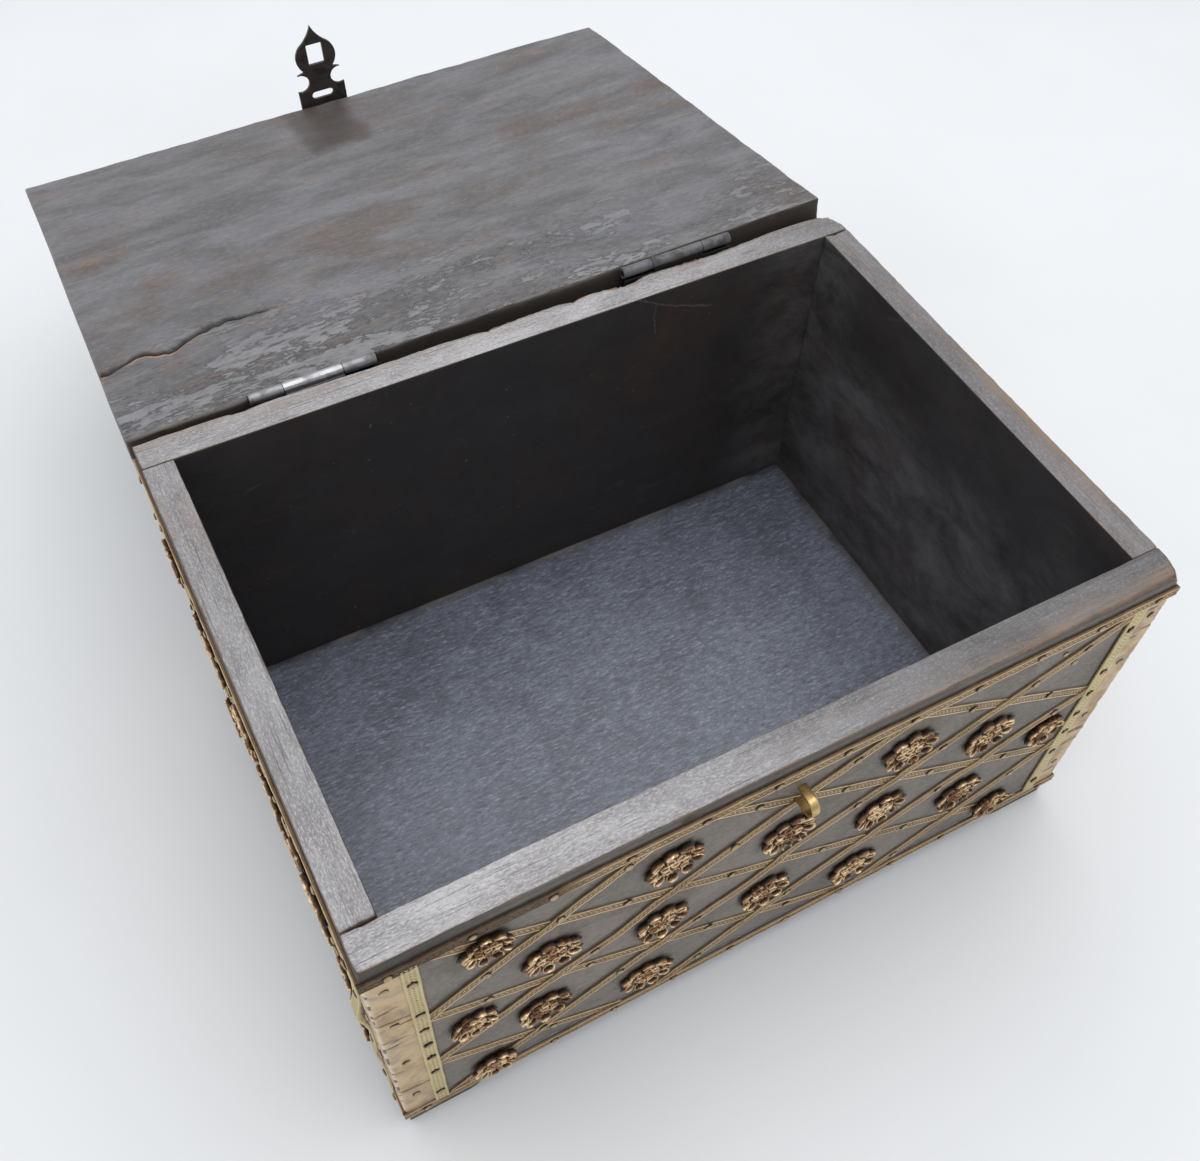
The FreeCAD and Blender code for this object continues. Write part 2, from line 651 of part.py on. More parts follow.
def rosette(radius):
    """A stamped flower that faces out: a cup, a ring of petals and a ring of small loops."""
    height = size("rosette_height")
    back = Vec(0, 0, 0)
    body = Part.makeCylinder(CUP_SHARE * radius, CUP_HEIGHT_SHARE * height, back, OUTWARD)
    holes = [Part.makeCylinder(EYE_SHARE * radius, height, OUTWARD * (CUP_HEIGHT_SHARE * height), OUTWARD)]
    rings = (
        (PETALS, PETAL_RING_SHARE, PETAL_SHARE, PETAL_HEIGHT_SHARE, PETAL_HOLE_SHARE),
        (LOOPS, LOOP_RING_SHARE, LOOP_SHARE, 1, LOOP_HOLE_SHARE),
    )
    for count, ring, share, rise, hole in rings:
        for k in range(count):
            turn = 2 * math.pi * k / count
            place = Vec(ring * radius * math.cos(turn), 0, ring * radius * math.sin(turn))
            body = body.fuse(Part.makeCylinder(share * radius, rise * height, place, OUTWARD))
            start = place + OUTWARD * (rise * height / 2)
            holes.append(Part.makeCylinder(hole * radius, height, start, OUTWARD))
    return body.cut(holes).removeSplitter()


def build_rosettes():
    """The rosettes of each face, one group a face."""
    large = rosette(size("rosette_radius"))
    small = rosette(size("small_rosette_radius"))
    places = {
        "front": (FRONT_ROSETTE_SHARES, FRONT_SMALL_ROSETTE_SHARES),
        "left": (SIDE_ROSETTE_SHARES, SIDE_SMALL_ROSETTE_SHARES),
        "right": (SIDE_ROSETTE_SHARES, SIDE_SMALL_ROSETTE_SHARES),
    }
    for name, frame, length, columns in face_frames():
        large_shares, small_shares = places[name]
        solids = []
        for share in large_shares:
            solids.append(large.translated(lattice_place(share, length, columns)))
        for column, row, sheets in small_shares:
            place = lattice_place((column, row), length, columns) + OUTWARD * (sheets * size("sheet"))
            solids.append(small.translated(place))
        keep(name + "_rosettes", feature(name + "_rosettes", Part.makeCompound(solids), frame))


def tack(radius, height):
    """A domed tack head that faces out, its flat back at the origin."""
    ball = (radius * radius + height * height) / (2 * height)
    start = math.degrees(math.asin((ball - height) / ball))
    return Part.makeSphere(ball, OUTWARD * -(ball - height), OUTWARD, start, 90, 360)


def build_face_nails():
    """The tack heads on the strips and corner plates, one group a face."""
    head = tack(size("tack_radius"), size("tack_height"))
    shares = {
        "front": (FRONT_FALLING_TACK_SHARES, FRONT_RISING_TACK_SHARES, LOOSE_TACK_SHARES, BORDER_TACKS),
        "left": (SIDE_FALLING_TACK_SHARES, SIDE_RISING_TACK_SHARES, (), SIDE_BORDER_TACKS),
        "right": (SIDE_FALLING_TACK_SHARES, SIDE_RISING_TACK_SHARES, (), SIDE_BORDER_TACKS),
    }
    top = rim_z() - size("top_strip_drop") - size("border_width") / 2
    bottom = size("foot_height") + size("border_width") / 2
    for name, frame, length, columns in face_frames():
        falling, rising, loose, border = shares[name]
        places = []
        for group, sheets in ((falling, 1), (rising, 2), (loose, 0)):
            for share in group:
                places.append(lattice_place(share, length, columns) + OUTWARD * (sheets * size("sheet")))
        reach = length / 2 - size("tack_inset")
        for k in range(border):
            x = -reach + 2 * reach * k / (border - 1)
            for z in (top, bottom):
                places.append(Vec(x, -3 * size("sheet"), z))
        for side in (-1, 1):
            edge = side * (length / 2 - size("edge_strip_inset") - size("edge_strip_width") / 2)
            for share in EDGE_TACK_SHARES:
                places.append(Vec(edge, -3 * size("sheet"), top + (bottom - top) * share))
            plate = side * (length / 2 - size("edge_strip_inset") / 2)
            for share in PLATE_TACK_SHARES:
                places.append(Vec(plate, -size("sheet"), top + (bottom - top) * share))
        solids = [head.translated(place) for place in places]
        keep(name + "_nails", feature(name + "_nails", Part.makeCompound(solids), frame))


def hinge_turn():
    """The turn from the box's axes to the askew hinge line's."""
    return FreeCAD.Rotation(-size("hinge_yaw"), -size("hinge_tilt"), 0)


def hinge_middle():
    """Where the hinge line passes the middle of the box."""
    return Vec(0, size("box_depth") / 2 + size("hinge_standoff"), rim_z() + size("hinge_rise"))


def lid_turn():
    """The turn that lays the shut lid open."""
    axis = hinge_turn().multVec(ACROSS)
    return FreeCAD.Placement(Vec(0, 0, 0), FreeCAD.Rotation(axis, -size("open_angle")), hinge_middle())


def hinge_frame(offset):
    """A hinge's own frame: X along the hinge line, from the hinge's middle."""
    along = hinge_turn().multVec(ACROSS)
    return FreeCAD.Placement(hinge_middle() + along * (offset / along.x), hinge_turn())


def leaf_depth(offset):
    """From the hinge line to the nearer face of a leaf at its middle."""
    slope = math.tan(math.radians(size("hinge_yaw")))
    drift = slope * size("hinge_length") / 2
    return size("hinge_standoff") - slope * offset - size("leaf_seat") - drift


def lid_seat(offset):
    """How far the shut lid's underside is above the lower end of a hinge's line."""
    slope = math.tan(math.radians(size("hinge_tilt")))
    lower_end = size("hinge_rise") + slope * (offset - size("hinge_length") / 2)
    return size("lid_gap") - lower_end


def knuckle_ranges():
    """The stretches of the two outer knuckles and of the middle one along the hinge."""
    half = size("hinge_length") / 2
    middle = size("middle_knuckle") / 2
    gap = size("knuckle_gap")
    return ((-half, -middle - gap), (middle + gap, half)), ((-middle, middle),)


def leaf(offset, ranges, other_ranges, sign):
    """A leaf: a plate on the wood, its knuckles and the webs between them.

    The plate goes down for the box (sign -1) and up for the shut lid (sign 1).
    """
    depth = leaf_depth(offset)
    thick = size("leaf_thickness")
    half = size("hinge_length") / 2
    gap = size("knuckle_gap")
    low = max(gap, lid_seat(offset)) if sign > 0 else -size("leaf_height")
    high = size("leaf_height") if sign > 0 else -gap
    back = -depth - (size("lid_gap") if sign > 0 else 0)
    plate = Part.makeBox(2 * half, thick, high - low, Vec(-half, back, low))
    bore = size("pin_radius") + (size("pin_clearance") if sign > 0 else 0)
    for start, end in other_ranges:
        around = size("knuckle_radius") + size("leaf_clearance")
        clear = Part.makeCylinder(around, end - start + 2 * gap, Vec(start - gap, 0, 0), ACROSS)
        plate = plate.cut(clear)
    pin_bore = Part.makeCylinder(bore, 2 * half, Vec(-half, 0, 0), ACROSS)
    for start, end in ranges:
        knuckle = Part.makeCylinder(size("knuckle_radius"), end - start, Vec(start, 0, 0), ACROSS)
        web_low = low if sign > 0 else -gap - thick
        web = Part.makeBox(end - start, -back, thick, Vec(start, back, web_low))
        plate = plate.fuse(knuckle).fuse(web)
    return plate.cut(pin_bore).removeSplitter()


def leaf_tacks(offset, sign):
    """Iron tack heads on a leaf, in the hinge's frame."""
    head = tack(size("leaf_tack_radius"), size("leaf_tack_height"))
    head.rotate(Vec(0, 0, 0), UP, 180)
    face = -leaf_depth(offset) + size("leaf_thickness") - (size("lid_gap") if sign > 0 else 0)
    solids = []
    for share in HINGE_TACK_SHARES:
        x = share * size("hinge_length")
        solids.append(head.translated(Vec(x, face, sign * LEAF_TACK_SHARE * size("leaf_height"))))
    return solids


def build_hinges():
    """Two hinges: a leaf on the box's back, a leaf on the lid's back edge and a pin."""
    outer, middle = knuckle_ranges()
    box_tacks, lid_tacks = [], []
    half = size("box_length") / 2
    offsets = {"left": size("left_hinge_inset") - half, "right": half - size("right_hinge_inset")}
    for name, offset in offsets.items():
        frame = hinge_frame(offset)
        box_leaf = leaf(offset, middle, outer, -1)
        keep(name + "_hinge_box_leaf", feature(name + "_hinge_box_leaf", box_leaf, frame))
        lid_leaf = leaf(offset, outer, middle, 1)
        place = lid_turn().multiply(frame)
        keep(name + "_hinge_lid_leaf", feature(name + "_hinge_lid_leaf", lid_leaf, place))
        pin = doc.addObject("Part::Cylinder", name + "_hinge_pin")
        bind(pin, Radius="pin_radius", Height="hinge_length + 2 * knuckle_gap")
        start = Vec(-size("hinge_length") / 2 - size("knuckle_gap"), 0, 0)
        pin.Placement = frame.multiply(FreeCAD.Placement(start, FreeCAD.Rotation(UP, ACROSS)))
        keep(name + "_hinge_pin", pin)
        for solids, sign in ((box_tacks, -1), (lid_tacks, 1)):
            for head in leaf_tacks(offset, sign):
                head.Placement = frame.multiply(head.Placement)
                solids.append(head)
    keep("hinge_box_nails", feature("hinge_box_nails", Part.makeCompound(box_tacks)))
    keep("hinge_lid_nails", feature("hinge_lid_nails", Part.makeCompound(lid_tacks), lid_turn()))


def lid_front():
    """Where the front edge of the shut lid is."""
    return -size("box_depth") / 2 - size("lid_overhang")


def build_lid():
    """The lid board, its edges rounded by wear."""
    body = board(
        "lid_board", "lid_length", "box_depth + lid_overhang - lid_gap", "lid_thickness",
        "-lid_length / 2 - lid_shift", "-box_depth / 2 - lid_overhang", RIM + " + lid_gap",
    )
    round_edges(body, "lid_round", lambda m, box: near(m.z, box.ZMax) or near(m.y, box.YMin))
    doc.recompute()
    shut = body.Placement
    for axis in ("x", "y", "z"):
        body.setExpression("Placement.Base." + axis, None)
    body.Placement = lid_turn().multiply(shut)
    keep("lid_board", body)


def hasp_frame():
    """The hasp's frame with the lid shut: on its hinge line, before the lid's front edge."""
    x = size("staple_across") - size("box_length") / 2
    y = lid_front() - size("hasp_standoff")
    return FreeCAD.Placement(Vec(x, y, rim_z() + size("lid_gap") + size("hasp_rise")), FreeCAD.Rotation())


def add_hasp_outline(sketch):
    """The hasp's outline, right half and left half, each from the hinge line to the tip."""
    plate = size("hasp_plate_half")
    lobe = size("hasp_lobe_half")
    shoulder = size("hasp_shoulder_half")
    flank = (size("hasp_flank_at") + size("hasp_length")) / 2
    for side in (-1, 1):
        def at(half, along, side=side):
            return Vec(side * half, -along, 0)

        foot = at(plate, 0)
        plate_top = at(plate, size("hasp_plate_top"))
        spur = at(size("hasp_spur_half"), size("hasp_spur_at"))
        start = at(shoulder, size("hasp_shoulder_at"))
        end = at(shoulder, size("hasp_flank_at"))
        tip = at(0, size("hasp_length"))
        sketch.addGeometry(Part.LineSegment(at(0, 0), foot), False)
        sketch.addGeometry(Part.LineSegment(foot, plate_top), False)
        neck = at(size("hasp_neck_half"), size("hasp_neck_at"))
        sketch.addGeometry(Part.Arc(plate_top, neck, spur), False)
        sketch.addGeometry(Part.LineSegment(spur, start), False)
        sketch.addGeometry(Part.Arc(start, at(lobe, size("hasp_lobe_at")), end), False)
        waist = at(shoulder / 3, flank)
        sketch.addGeometry(Part.Arc(end, waist, tip), False)


def add_hasp_hole(sketch):
    """The near-square hole and the slot with round ends."""
    half = size("hasp_hole_width") / 2
    low, high = -size("hasp_hole_from"), -size("hasp_hole_to")
    corners = [Vec(-half, low, 0), Vec(half, low, 0), Vec(half, high, 0), Vec(-half, high, 0)]
    for k in range(4):
        sketch.addGeometry(Part.LineSegment(corners[k], corners[(k + 1) % 4]), False)
    end = size("hasp_slot_height") / 2
    straight = size("hasp_slot_width") / 2 - end
    middle = -size("hasp_slot_at")
    for side in (-1, 1):
        left = Vec(-side * straight, middle - side * end, 0)
        right = Vec(side * straight, middle - side * end, 0)
        sketch.addGeometry(Part.LineSegment(left, right), False)
        round_middle = Vec(side * (straight + end), middle, 0)
        next_corner = Vec(side * straight, middle + side * end, 0)
        sketch.addGeometry(Part.Arc(right, round_middle, next_corner), False)


def symmetric(padding, words):
    """Make a pad or pocket run equally to both sides of its sketch."""
    padding.SideType = "Symmetric"
    bind(padding, Length=words)


def build_hasp():
    """The hasp: a plate from its outline, with its hole and slot, and one knuckle."""
    body = doc.addObject("PartDesign::Body", "hasp")
    outline = sketch_on(body, "hasp_outline", "XZ_Plane")
    add_hasp_outline(outline)
    plate = body.newObject("PartDesign::Pad", "hasp_plate")
    plate.Profile = outline
    symmetric(plate, "hasp_thickness")
    body.Tip = plate
    doc.recompute()
    whole = plate.Shape.Volume
    holes = sketch_on(body, "hasp_holes", "XZ_Plane")
    add_hasp_hole(holes)
    pierced = body.newObject("PartDesign::Pocket", "hasp_pierced")
    pierced.Profile = holes
    symmetric(pierced, "4 * hasp_thickness")
    body.Tip = pierced
    doc.recompute()
    if not pierced.Shape.Volume < whole:
        raise RuntimeError("the hasp's holes cut nothing")
    knuckle = cylinder_along("hasp_knuckle_blank", "hasp_knuckle_radius", "hasp_knuckle")
    bore = cylinder_along("hasp_bore", "hasp_pin_radius + pin_clearance", "2 * hasp_plate_half + knuckle_gap")
    room = feature("hasp_side_room", hasp_side_room())
    slim = cut("hasp_slim", body, room)
    joined = doc.addObject("Part::Fuse", "hasp_joined")
    joined.Base = slim
    joined.Tool = knuckle
    hasp = cut("hasp_bored", joined, bore)
    doc.recompute()
    lean = FreeCAD.Placement(Vec(0, 0, 0), FreeCAD.Rotation(ACROSS, size("hasp_lean")))
    hasp.Placement = lid_turn().multiply(hasp_frame()).multiply(lean)
    keep("hasp", hasp)


def hasp_side_room():
    """The room beside the hasp's knuckle, where the strap's knuckles turn."""
    start = size("hasp_knuckle") / 2
    reach = size("hasp_plate_half") * 2
    around = size("hasp_knuckle_radius") + size("leaf_clearance")
    sides = []
    for x in (start, -start - reach):
        sides.append(Part.makeCylinder(around, reach, Vec(x, 0, 0), ACROSS))
    return Part.makeCompound(sides)


def cylinder_along(name, radius, length):
    """A cylinder along X about the origin, bound to expressions."""
    piece = doc.addObject("Part::Cylinder", name)
    bind(piece, Radius=radius, Height=length)
    doc.recompute()
    start = Vec(-piece.Height.Value / 2, 0, 0)
    piece.Placement = FreeCAD.Placement(start, FreeCAD.Rotation(UP, ACROSS))
    return piece


def build_strap():
    """The strap over the lid's front edge, with two knuckles for the hasp's pin."""
    frame = hasp_frame()
    width = size("strap_width")
    thick = size("strap_thickness")
    out = size("hasp_standoff")
    lid_top = size("lid_thickness") - size("hasp_rise")
    half = width / 2
    top = Part.makeBox(width, size("strap_back") + thick, thick, Vec(-half, out - thick, lid_top))
    gap = size("knuckle_gap")
    drop = Part.makeBox(width, thick, lid_top + thick - gap, Vec(-half, out - thick, gap))
    strap = top.fuse(drop)
    start = size("hasp_knuckle") / 2 + gap
    around = size("hasp_knuckle_radius") + size("leaf_clearance")
    room = Part.makeCylinder(around, 2 * start, Vec(-start, 0, 0), ACROSS)
    strap = strap.cut(room)
    for low in (-half, start):
        length = half - start
        knuckle = Part.makeCylinder(size("hasp_knuckle_radius"), length, Vec(low, 0, 0), ACROSS)
        web = Part.makeBox(length, out, thick, Vec(low, 0, gap))
        strap = strap.fuse(knuckle).fuse(web)
    strap = strap.cut(Part.makeCylinder(size("hasp_pin_radius"), width, Vec(-half, 0, 0), ACROSS))
    place = lid_turn().multiply(frame)
    keep("hasp_strap", feature("hasp_strap", strap.removeSplitter(), place))
    pin = cylinder_along("hasp_pin", "hasp_pin_radius", "strap_width")
    pin.Placement = place.multiply(pin.Placement)
    keep("hasp_pin", pin)
    head = tack(size("iron_tack_radius"), size("tack_height"))
    head.rotate(Vec(0, 0, 0), ACROSS, -90)
    heads = []
    for across, along in STRAP_TACK_SHARES:
        spot = Vec(across * width, out + along * size("strap_back"), lid_top + thick)
        heads.append(head.translated(spot))
    keep("hasp_strap_nails", feature("hasp_strap_nails", Part.makeCompound(heads), place))


def check_document():
    """Stop if any object failed, or if a piece's shape is missing or wrong."""
    doc.recompute()
    for piece in doc.Objects:
        if "Invalid" in piece.State or "Error" in piece.State:
            raise RuntimeError("%s did not compute: %s" % (piece.Name, piece.State))
    for name, piece in NODES.items():
        shape = piece.Shape
        if shape.isNull() or not shape.isValid() or not shape.Solids:
            raise RuntimeError("%s has no valid solid" % name)


def write_pieces():
    """Write each piece's shape to its own file."""
    os.makedirs("parts", exist_ok=True)
    for name, piece in NODES.items():
        piece.Shape.exportStep(os.path.join("parts", name + ".step"))
        print("%-28s solids %3d  volume %10.1f" % (name, len(piece.Shape.Solids), piece.Shape.Volume))
    print("pieces", len(NODES))


def main():
    """Build every piece, check the document and write the pieces."""
    nails = build_hidden_nails()
    staple = build_staple()
    holes = build_boards(nails, staple)
    build_feet(holes)
    build_corner_plates()
    doc.recompute()
    build_strips(staple)
    build_rosettes()
    build_face_nails()
    build_hinges()
    build_lid()
    build_hasp()
    build_strap()
    check_document()
    write_pieces()


main()
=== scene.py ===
"""The looks of an old wooden chest bound in sheet brass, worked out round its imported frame."""

import itertools
import json
import math

import bmesh
import bpy
import numpy as np
from bpy.props import FloatProperty, FloatVectorProperty, IntProperty, PointerProperty
from mathutils import Matrix, Vector


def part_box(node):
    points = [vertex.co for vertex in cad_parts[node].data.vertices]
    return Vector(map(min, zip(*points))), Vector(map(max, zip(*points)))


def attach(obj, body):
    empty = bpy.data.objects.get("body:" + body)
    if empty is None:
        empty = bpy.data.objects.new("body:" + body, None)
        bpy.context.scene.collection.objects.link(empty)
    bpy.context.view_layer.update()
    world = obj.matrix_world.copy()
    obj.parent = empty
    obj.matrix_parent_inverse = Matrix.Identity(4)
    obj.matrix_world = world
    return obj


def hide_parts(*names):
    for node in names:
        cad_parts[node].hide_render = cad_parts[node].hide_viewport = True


bl_info = {
    "name": "Brass Bound Chest",
    "version": (1, 0, 0),
    "blender": (4, 5, 0),
    "location": "View3D > Sidebar > Chest",
    "description": "Gives a small nailed chest its worn wood, stamped brass, hinges and hasp",
    "category": "Add Mesh",
}

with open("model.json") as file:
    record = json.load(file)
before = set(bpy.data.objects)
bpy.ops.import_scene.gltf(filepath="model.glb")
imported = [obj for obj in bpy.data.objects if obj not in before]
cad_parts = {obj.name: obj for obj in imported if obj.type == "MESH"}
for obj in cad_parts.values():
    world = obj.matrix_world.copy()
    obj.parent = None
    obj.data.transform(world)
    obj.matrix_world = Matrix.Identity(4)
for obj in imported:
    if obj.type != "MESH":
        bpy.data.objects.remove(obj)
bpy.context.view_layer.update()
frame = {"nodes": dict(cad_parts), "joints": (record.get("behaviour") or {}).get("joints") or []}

MM = 0.001
X, Y, Z = np.eye(3)

# The box's own faces, from the boards of the frame.
FRONT_LOW, FRONT_HIGH = (np.array(corner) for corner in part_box("front_board"))
BACK_LOW, BACK_HIGH = (np.array(corner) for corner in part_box("back_board"))
LEFT_LOW, LEFT_HIGH = (np.array(corner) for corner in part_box("left_board"))
RIGHT_LOW, RIGHT_HIGH = (np.array(corner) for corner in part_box("right_board"))
FLOOR_LOW, FLOOR_HIGH = (np.array(corner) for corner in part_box("bottom_board"))
RIM = FRONT_HIGH[2]

# Each decorated face: a point on it, its direction across as one looks at it, and outward.
FACES = {
    "front": (np.array((0, FRONT_LOW[1], 0)), X, -Y),
    "left": (np.array((LEFT_LOW[0], 0, 0)), -Y, -X),
    "right": (np.array((RIGHT_HIGH[0], 0, 0)), Y, X),
}

# The lattice's lines as column and row shares, as in the part's source.
ROWS = 6
COLUMNS = {"front": 6, "left": 4, "right": 4}
LATTICE_MARGIN = 1.5 * MM
FALLING_SHARES = {
    "front": (
        ((4.0, 0.1), (6.0, 2.3)),
        ((2.0, -0.15), (6.0, 4.18)),
        ((0.0, 0.05), (6.0, 6.05)),
        ((0.0, 2.3), (1.3, 3.35), (3.95, 6.0)),
        ((0.0, 4.35), (1.6, 6.0)),
    ),
    "left": (
        ((2.0, 0.0), (4.0, 2.1)),
        ((0.0, 0.0), (4.0, 4.05)),
        ((0.0, 2.05), (4.0, 6.0)),
        ((0.0, 4.1), (2.0, 6.0)),
    ),
}
RISING_SHARES = {
    "front": (
        ((0.0, 2.1), (1.75, 0.0)),
        ((0.0, 4.1), (0.9, 3.12), (1.5, 2.62), (1.85, 2.1), (2.9, 1.0), (4.0, 0.0)),
        ((0.0, 6.0), (1.7, 4.15), (2.72, 3.3), (3.1, 2.72), (4.05, 1.93), (6.0, 0.25)),
        ((1.95, 6.0), (2.9, 4.93), (4.75, 3.27), (5.02, 3.12), (5.28, 2.85), (6.0, 2.38)),
        ((4.05, 6.0), (6.0, 4.05)),
    ),
    "left": (
        ((0.0, 2.05), (2.0, 0.0)),
        ((0.0, 4.0), (1.05, 2.95), (1.6, 2.5), (4.0, 0.0)),
        ((0.0, 6.0), (2.0, 4.1), (4.0, 2.05)),
        ((2.05, 6.0), (4.0, 4.1)),
    ),
}
FALLING_SHARES["right"] = FALLING_SHARES["left"]
RISING_SHARES["right"] = RISING_SHARES["left"]
UPRIGHTS = {
    "front": ("left_edge_strip", "right_edge_strip"),
    "left": ("back_edge_strip", "front_edge_strip"),
    "right": ("front_edge_strip", "back_edge_strip"),
}

# Sizes of the trim that the frame's boxes don't give.
STRIP_WIDTH = 5.2 * MM
STRIP_SKIRT = 0.2 * MM
STEP_OVER = 0.3 * MM
PLATE_SHEET = 0.45 * MM
PLATE_BEND = 1.6 * MM
CREASES = 16
TACK_HEIGHT = 0.85 * MM
HINGE_TACK_HEIGHT = 0.8 * MM
STAPLE_THICK = 1.1 * MM
LEAF_THICK = 1.2 * MM
KNUCKLE_HALF = 13.5 * MM
KNUCKLE_GAP = 0.3 * MM
KNUCKLE_CLEAR = 0.4 * MM

# Points round a tack, a rosette and the ground, and the stage's fixed places.
TACK_SIDES = 10
ROSETTE_SIDES = 144
GROUND_SIDES = 64
GROUND_RINGS = (0.3, 0.8, 2.0, 5.0, 9.0)
LAMP_SIZE = (2.0, 1.8)
LAMP_PLACE = (0.15, 0.1, 1.6)
SKY_SIDE = (0.3, 0.75, 0.6)
SENSOR = 36

# Dirt, dust, bare wood and painted shade that lie over the finishes.
SOOT_AND_SHADOW = (0.022, 0.014, 0.008)
EDGE_DARK = (0.07, 0.042, 0.025)
EDGE_BARE = (0.3, 0.16, 0.08)
STAIN = (0.06, 0.05, 0.045)
INSIDE_STAIN = (0.05, 0.028, 0.02)
SCUFF = (0.085, 0.075, 0.07)
WALL_DUST = (0.21, 0.2, 0.205)
SPECK = (0.3, 0.27, 0.24)
CRACK_DUST = (0.14, 0.115, 0.095)
BROWN_DIRT = (0.085, 0.062, 0.042)
BAND_DARK = (0.024, 0.018, 0.014)
BAND_BROWN = (0.095, 0.07, 0.05)
FLAKE_BRINK = (0.035, 0.031, 0.03)
STRAP_RUST = (0.04, 0.024, 0.016)
LID_ARRIS = (0.24, 0.21, 0.18)
LID_EDGE_DARK = (0.04, 0.031, 0.025)
LID_EDGE_BROWN = (0.15, 0.08, 0.045)
CRACK_BLACK = (0.008, 0.006, 0.005)
FLOOR_GRIME_AND_SHADE = (0.014, 0.012, 0.012)
FLOOR_DUST = (0.24, 0.19, 0.15)
FOOT_DARK = (0.05, 0.038, 0.03)
FOOT_BROWN = (0.11, 0.085, 0.065)
PLATE_GREY = (0.3, 0.25, 0.24)
PLATE_BROWN = (0.4, 0.27, 0.15)
PLATE_CREASE_SHADE = (0.12, 0.075, 0.045)
PLATE_ARRIS = (0.85, 0.76, 0.6)
RUST = (0.09, 0.038, 0.018)

LID_HINGE = next(joint for joint in frame["joints"] if joint["name"] == "lid_hinge")

RANDOM = np.random.default_rng(11).random((20, 20, 20))
NOISE_SHIFT = 500


def smooth(value, low, high):
    """Hermite step: 3t^2 - 2t^3 of how far the value is from low to high."""
    t = np.clip((value - low) / (high - low), 0, 1)
    return t * t * (3 - 2 * t)


def bump(value, middle, width):
    """A bell: exp(-((value - middle) / width)^2)."""
    return np.exp(-(((value - middle) / width) ** 2))


def noise(points, period, stretch=(1, 1, 1)):
    """Value noise from -1 to 1: random numbers on a lattice, joined by smooth steps."""
    q = np.asarray(points) / (period * np.asarray(stretch)) + NOISE_SHIFT
    base = np.floor(q).astype(int)
    part = q - base
    part = part * part * (3 - 2 * part)
    total = np.zeros(q.shape[:-1])
    for corner in itertools.product((0, 1), repeat=3):
        weight = np.prod(np.where(corner, part, 1 - part), axis=-1)
        i, j, k = np.moveaxis((base + corner) % len(RANDOM), -1, 0)
        total += weight * RANDOM[i, j, k]
    return 2 * total - 1


def unit(vectors):
    """Each vector over its length."""
    length = np.linalg.norm(vectors, axis=-1, keepdims=True)
    return vectors / np.maximum(length, 1e-12)


def grid_faces(rows, columns, wrap_columns=False):
    """The quads between neighbours on a grid of points, wrapped round where asked."""
    i = np.arange(rows - 1)
    j = np.arange(columns if wrap_columns else columns - 1)
    i, j = (a.ravel() for a in np.meshgrid(i, j, indexing="ij"))
    j2 = (j + 1) % columns
    low, high = i * columns, (i + 1) * columns
    return np.stack((low + j, high + j, high + j2, low + j2), -1)


def fan(middle, first, second):
    """Triangles from a middle point to the pairs of neighbours on a ring."""
    return np.stack((np.full(len(first), middle), first, second), -1)


def circle(count):
    """Even angles once round: 2 pi k / count."""
    return 2 * math.pi * np.arange(count) / count


class Pile:
    """Points, faces and values for each point, gathered from several surfaces into one mesh."""

    def __init__(self, *names):
        self.names = names
        self.points = []
        self.faces = []
        self.values = {name: [] for name in names}
        self.count = 0

    def add(self, points, faces, **values):
        """One surface: its points, its faces by their own numbers, and its values."""
        points = np.asarray(points, float).reshape(-1, 3)
        self.points.append(points)
        for group in faces if isinstance(faces, list) else [faces]:
            self.faces.extend((np.asarray(group) + self.count).tolist())
        for name in self.names:
            value = values.get(name, 0.0)
            self.values[name].append(np.broadcast_to(np.ravel(value), (len(points),)))
        self.count += len(points)

    def tube(self, rings, **values):
        """A grid of closed rings with a middle point in each end, so that it is one closed skin."""
        rows, columns = rings.shape[:2]
        j = np.arange(columns)
        after = (j + 1) % columns
        start, first = (rows - 1) * columns, rows * columns
        faces = [
            grid_faces(rows, columns, wrap_columns=True),
            fan(first, after, j),
            fan(first + 1, start + j, start + after),
        ]
        points = np.concatenate((rings.reshape(-1, 3), (rings[0].mean(0), rings[-1].mean(0))))
        spread = {}
        for name, value in values.items():
            value = np.broadcast_to(value, rings.shape[:2]).ravel()
            spread[name] = np.concatenate((value, (value[:columns].mean(), value[start:].mean())))
        self.add(points, faces, **spread)

    def make(self, name, material, body, replaced, slot, sharp=50, outward=True):
        """The mesh object: smooth shaded but for its sharp edges, riding on its body."""
        mesh = bpy.data.meshes.new(name)
        mesh.from_pydata(np.concatenate(self.points), [], self.faces)
        for attribute, parts in self.values.items():
            layer = mesh.attributes.new(attribute, "FLOAT", "POINT")
            layer.data.foreach_set("value", np.concatenate(parts).astype(np.float32))
        if outward:
            shell = bmesh.new()
            shell.from_mesh(mesh)
            bmesh.ops.recalc_face_normals(shell, faces=shell.faces)
            shell.to_mesh(mesh)
            shell.free()
        mesh.shade_smooth()
        mesh.set_sharp_from_angle(angle=math.radians(sharp))
        return place(bpy.data.objects.new(name, mesh), material, body, replaced, slot)


def place(piece, material, body, replaced, slot):
    """Link a finished piece, give it its material, hang it on its body and hide the parts that it replaces.
    """
    bpy.context.scene.collection.objects.link(piece)
    piece.data.materials.clear()
    piece.data.materials.append(material)
    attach(piece, body)
    if replaced:
        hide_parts(*replaced)
    return piece


def node_points(node):
    """The points of a CAD node."""
    mesh = frame["nodes"][node].data
    points = np.zeros(len(mesh.vertices) * 3, np.float32)
    mesh.vertices.foreach_get("co", points)
    return points.reshape(-1, 3).astype(float)


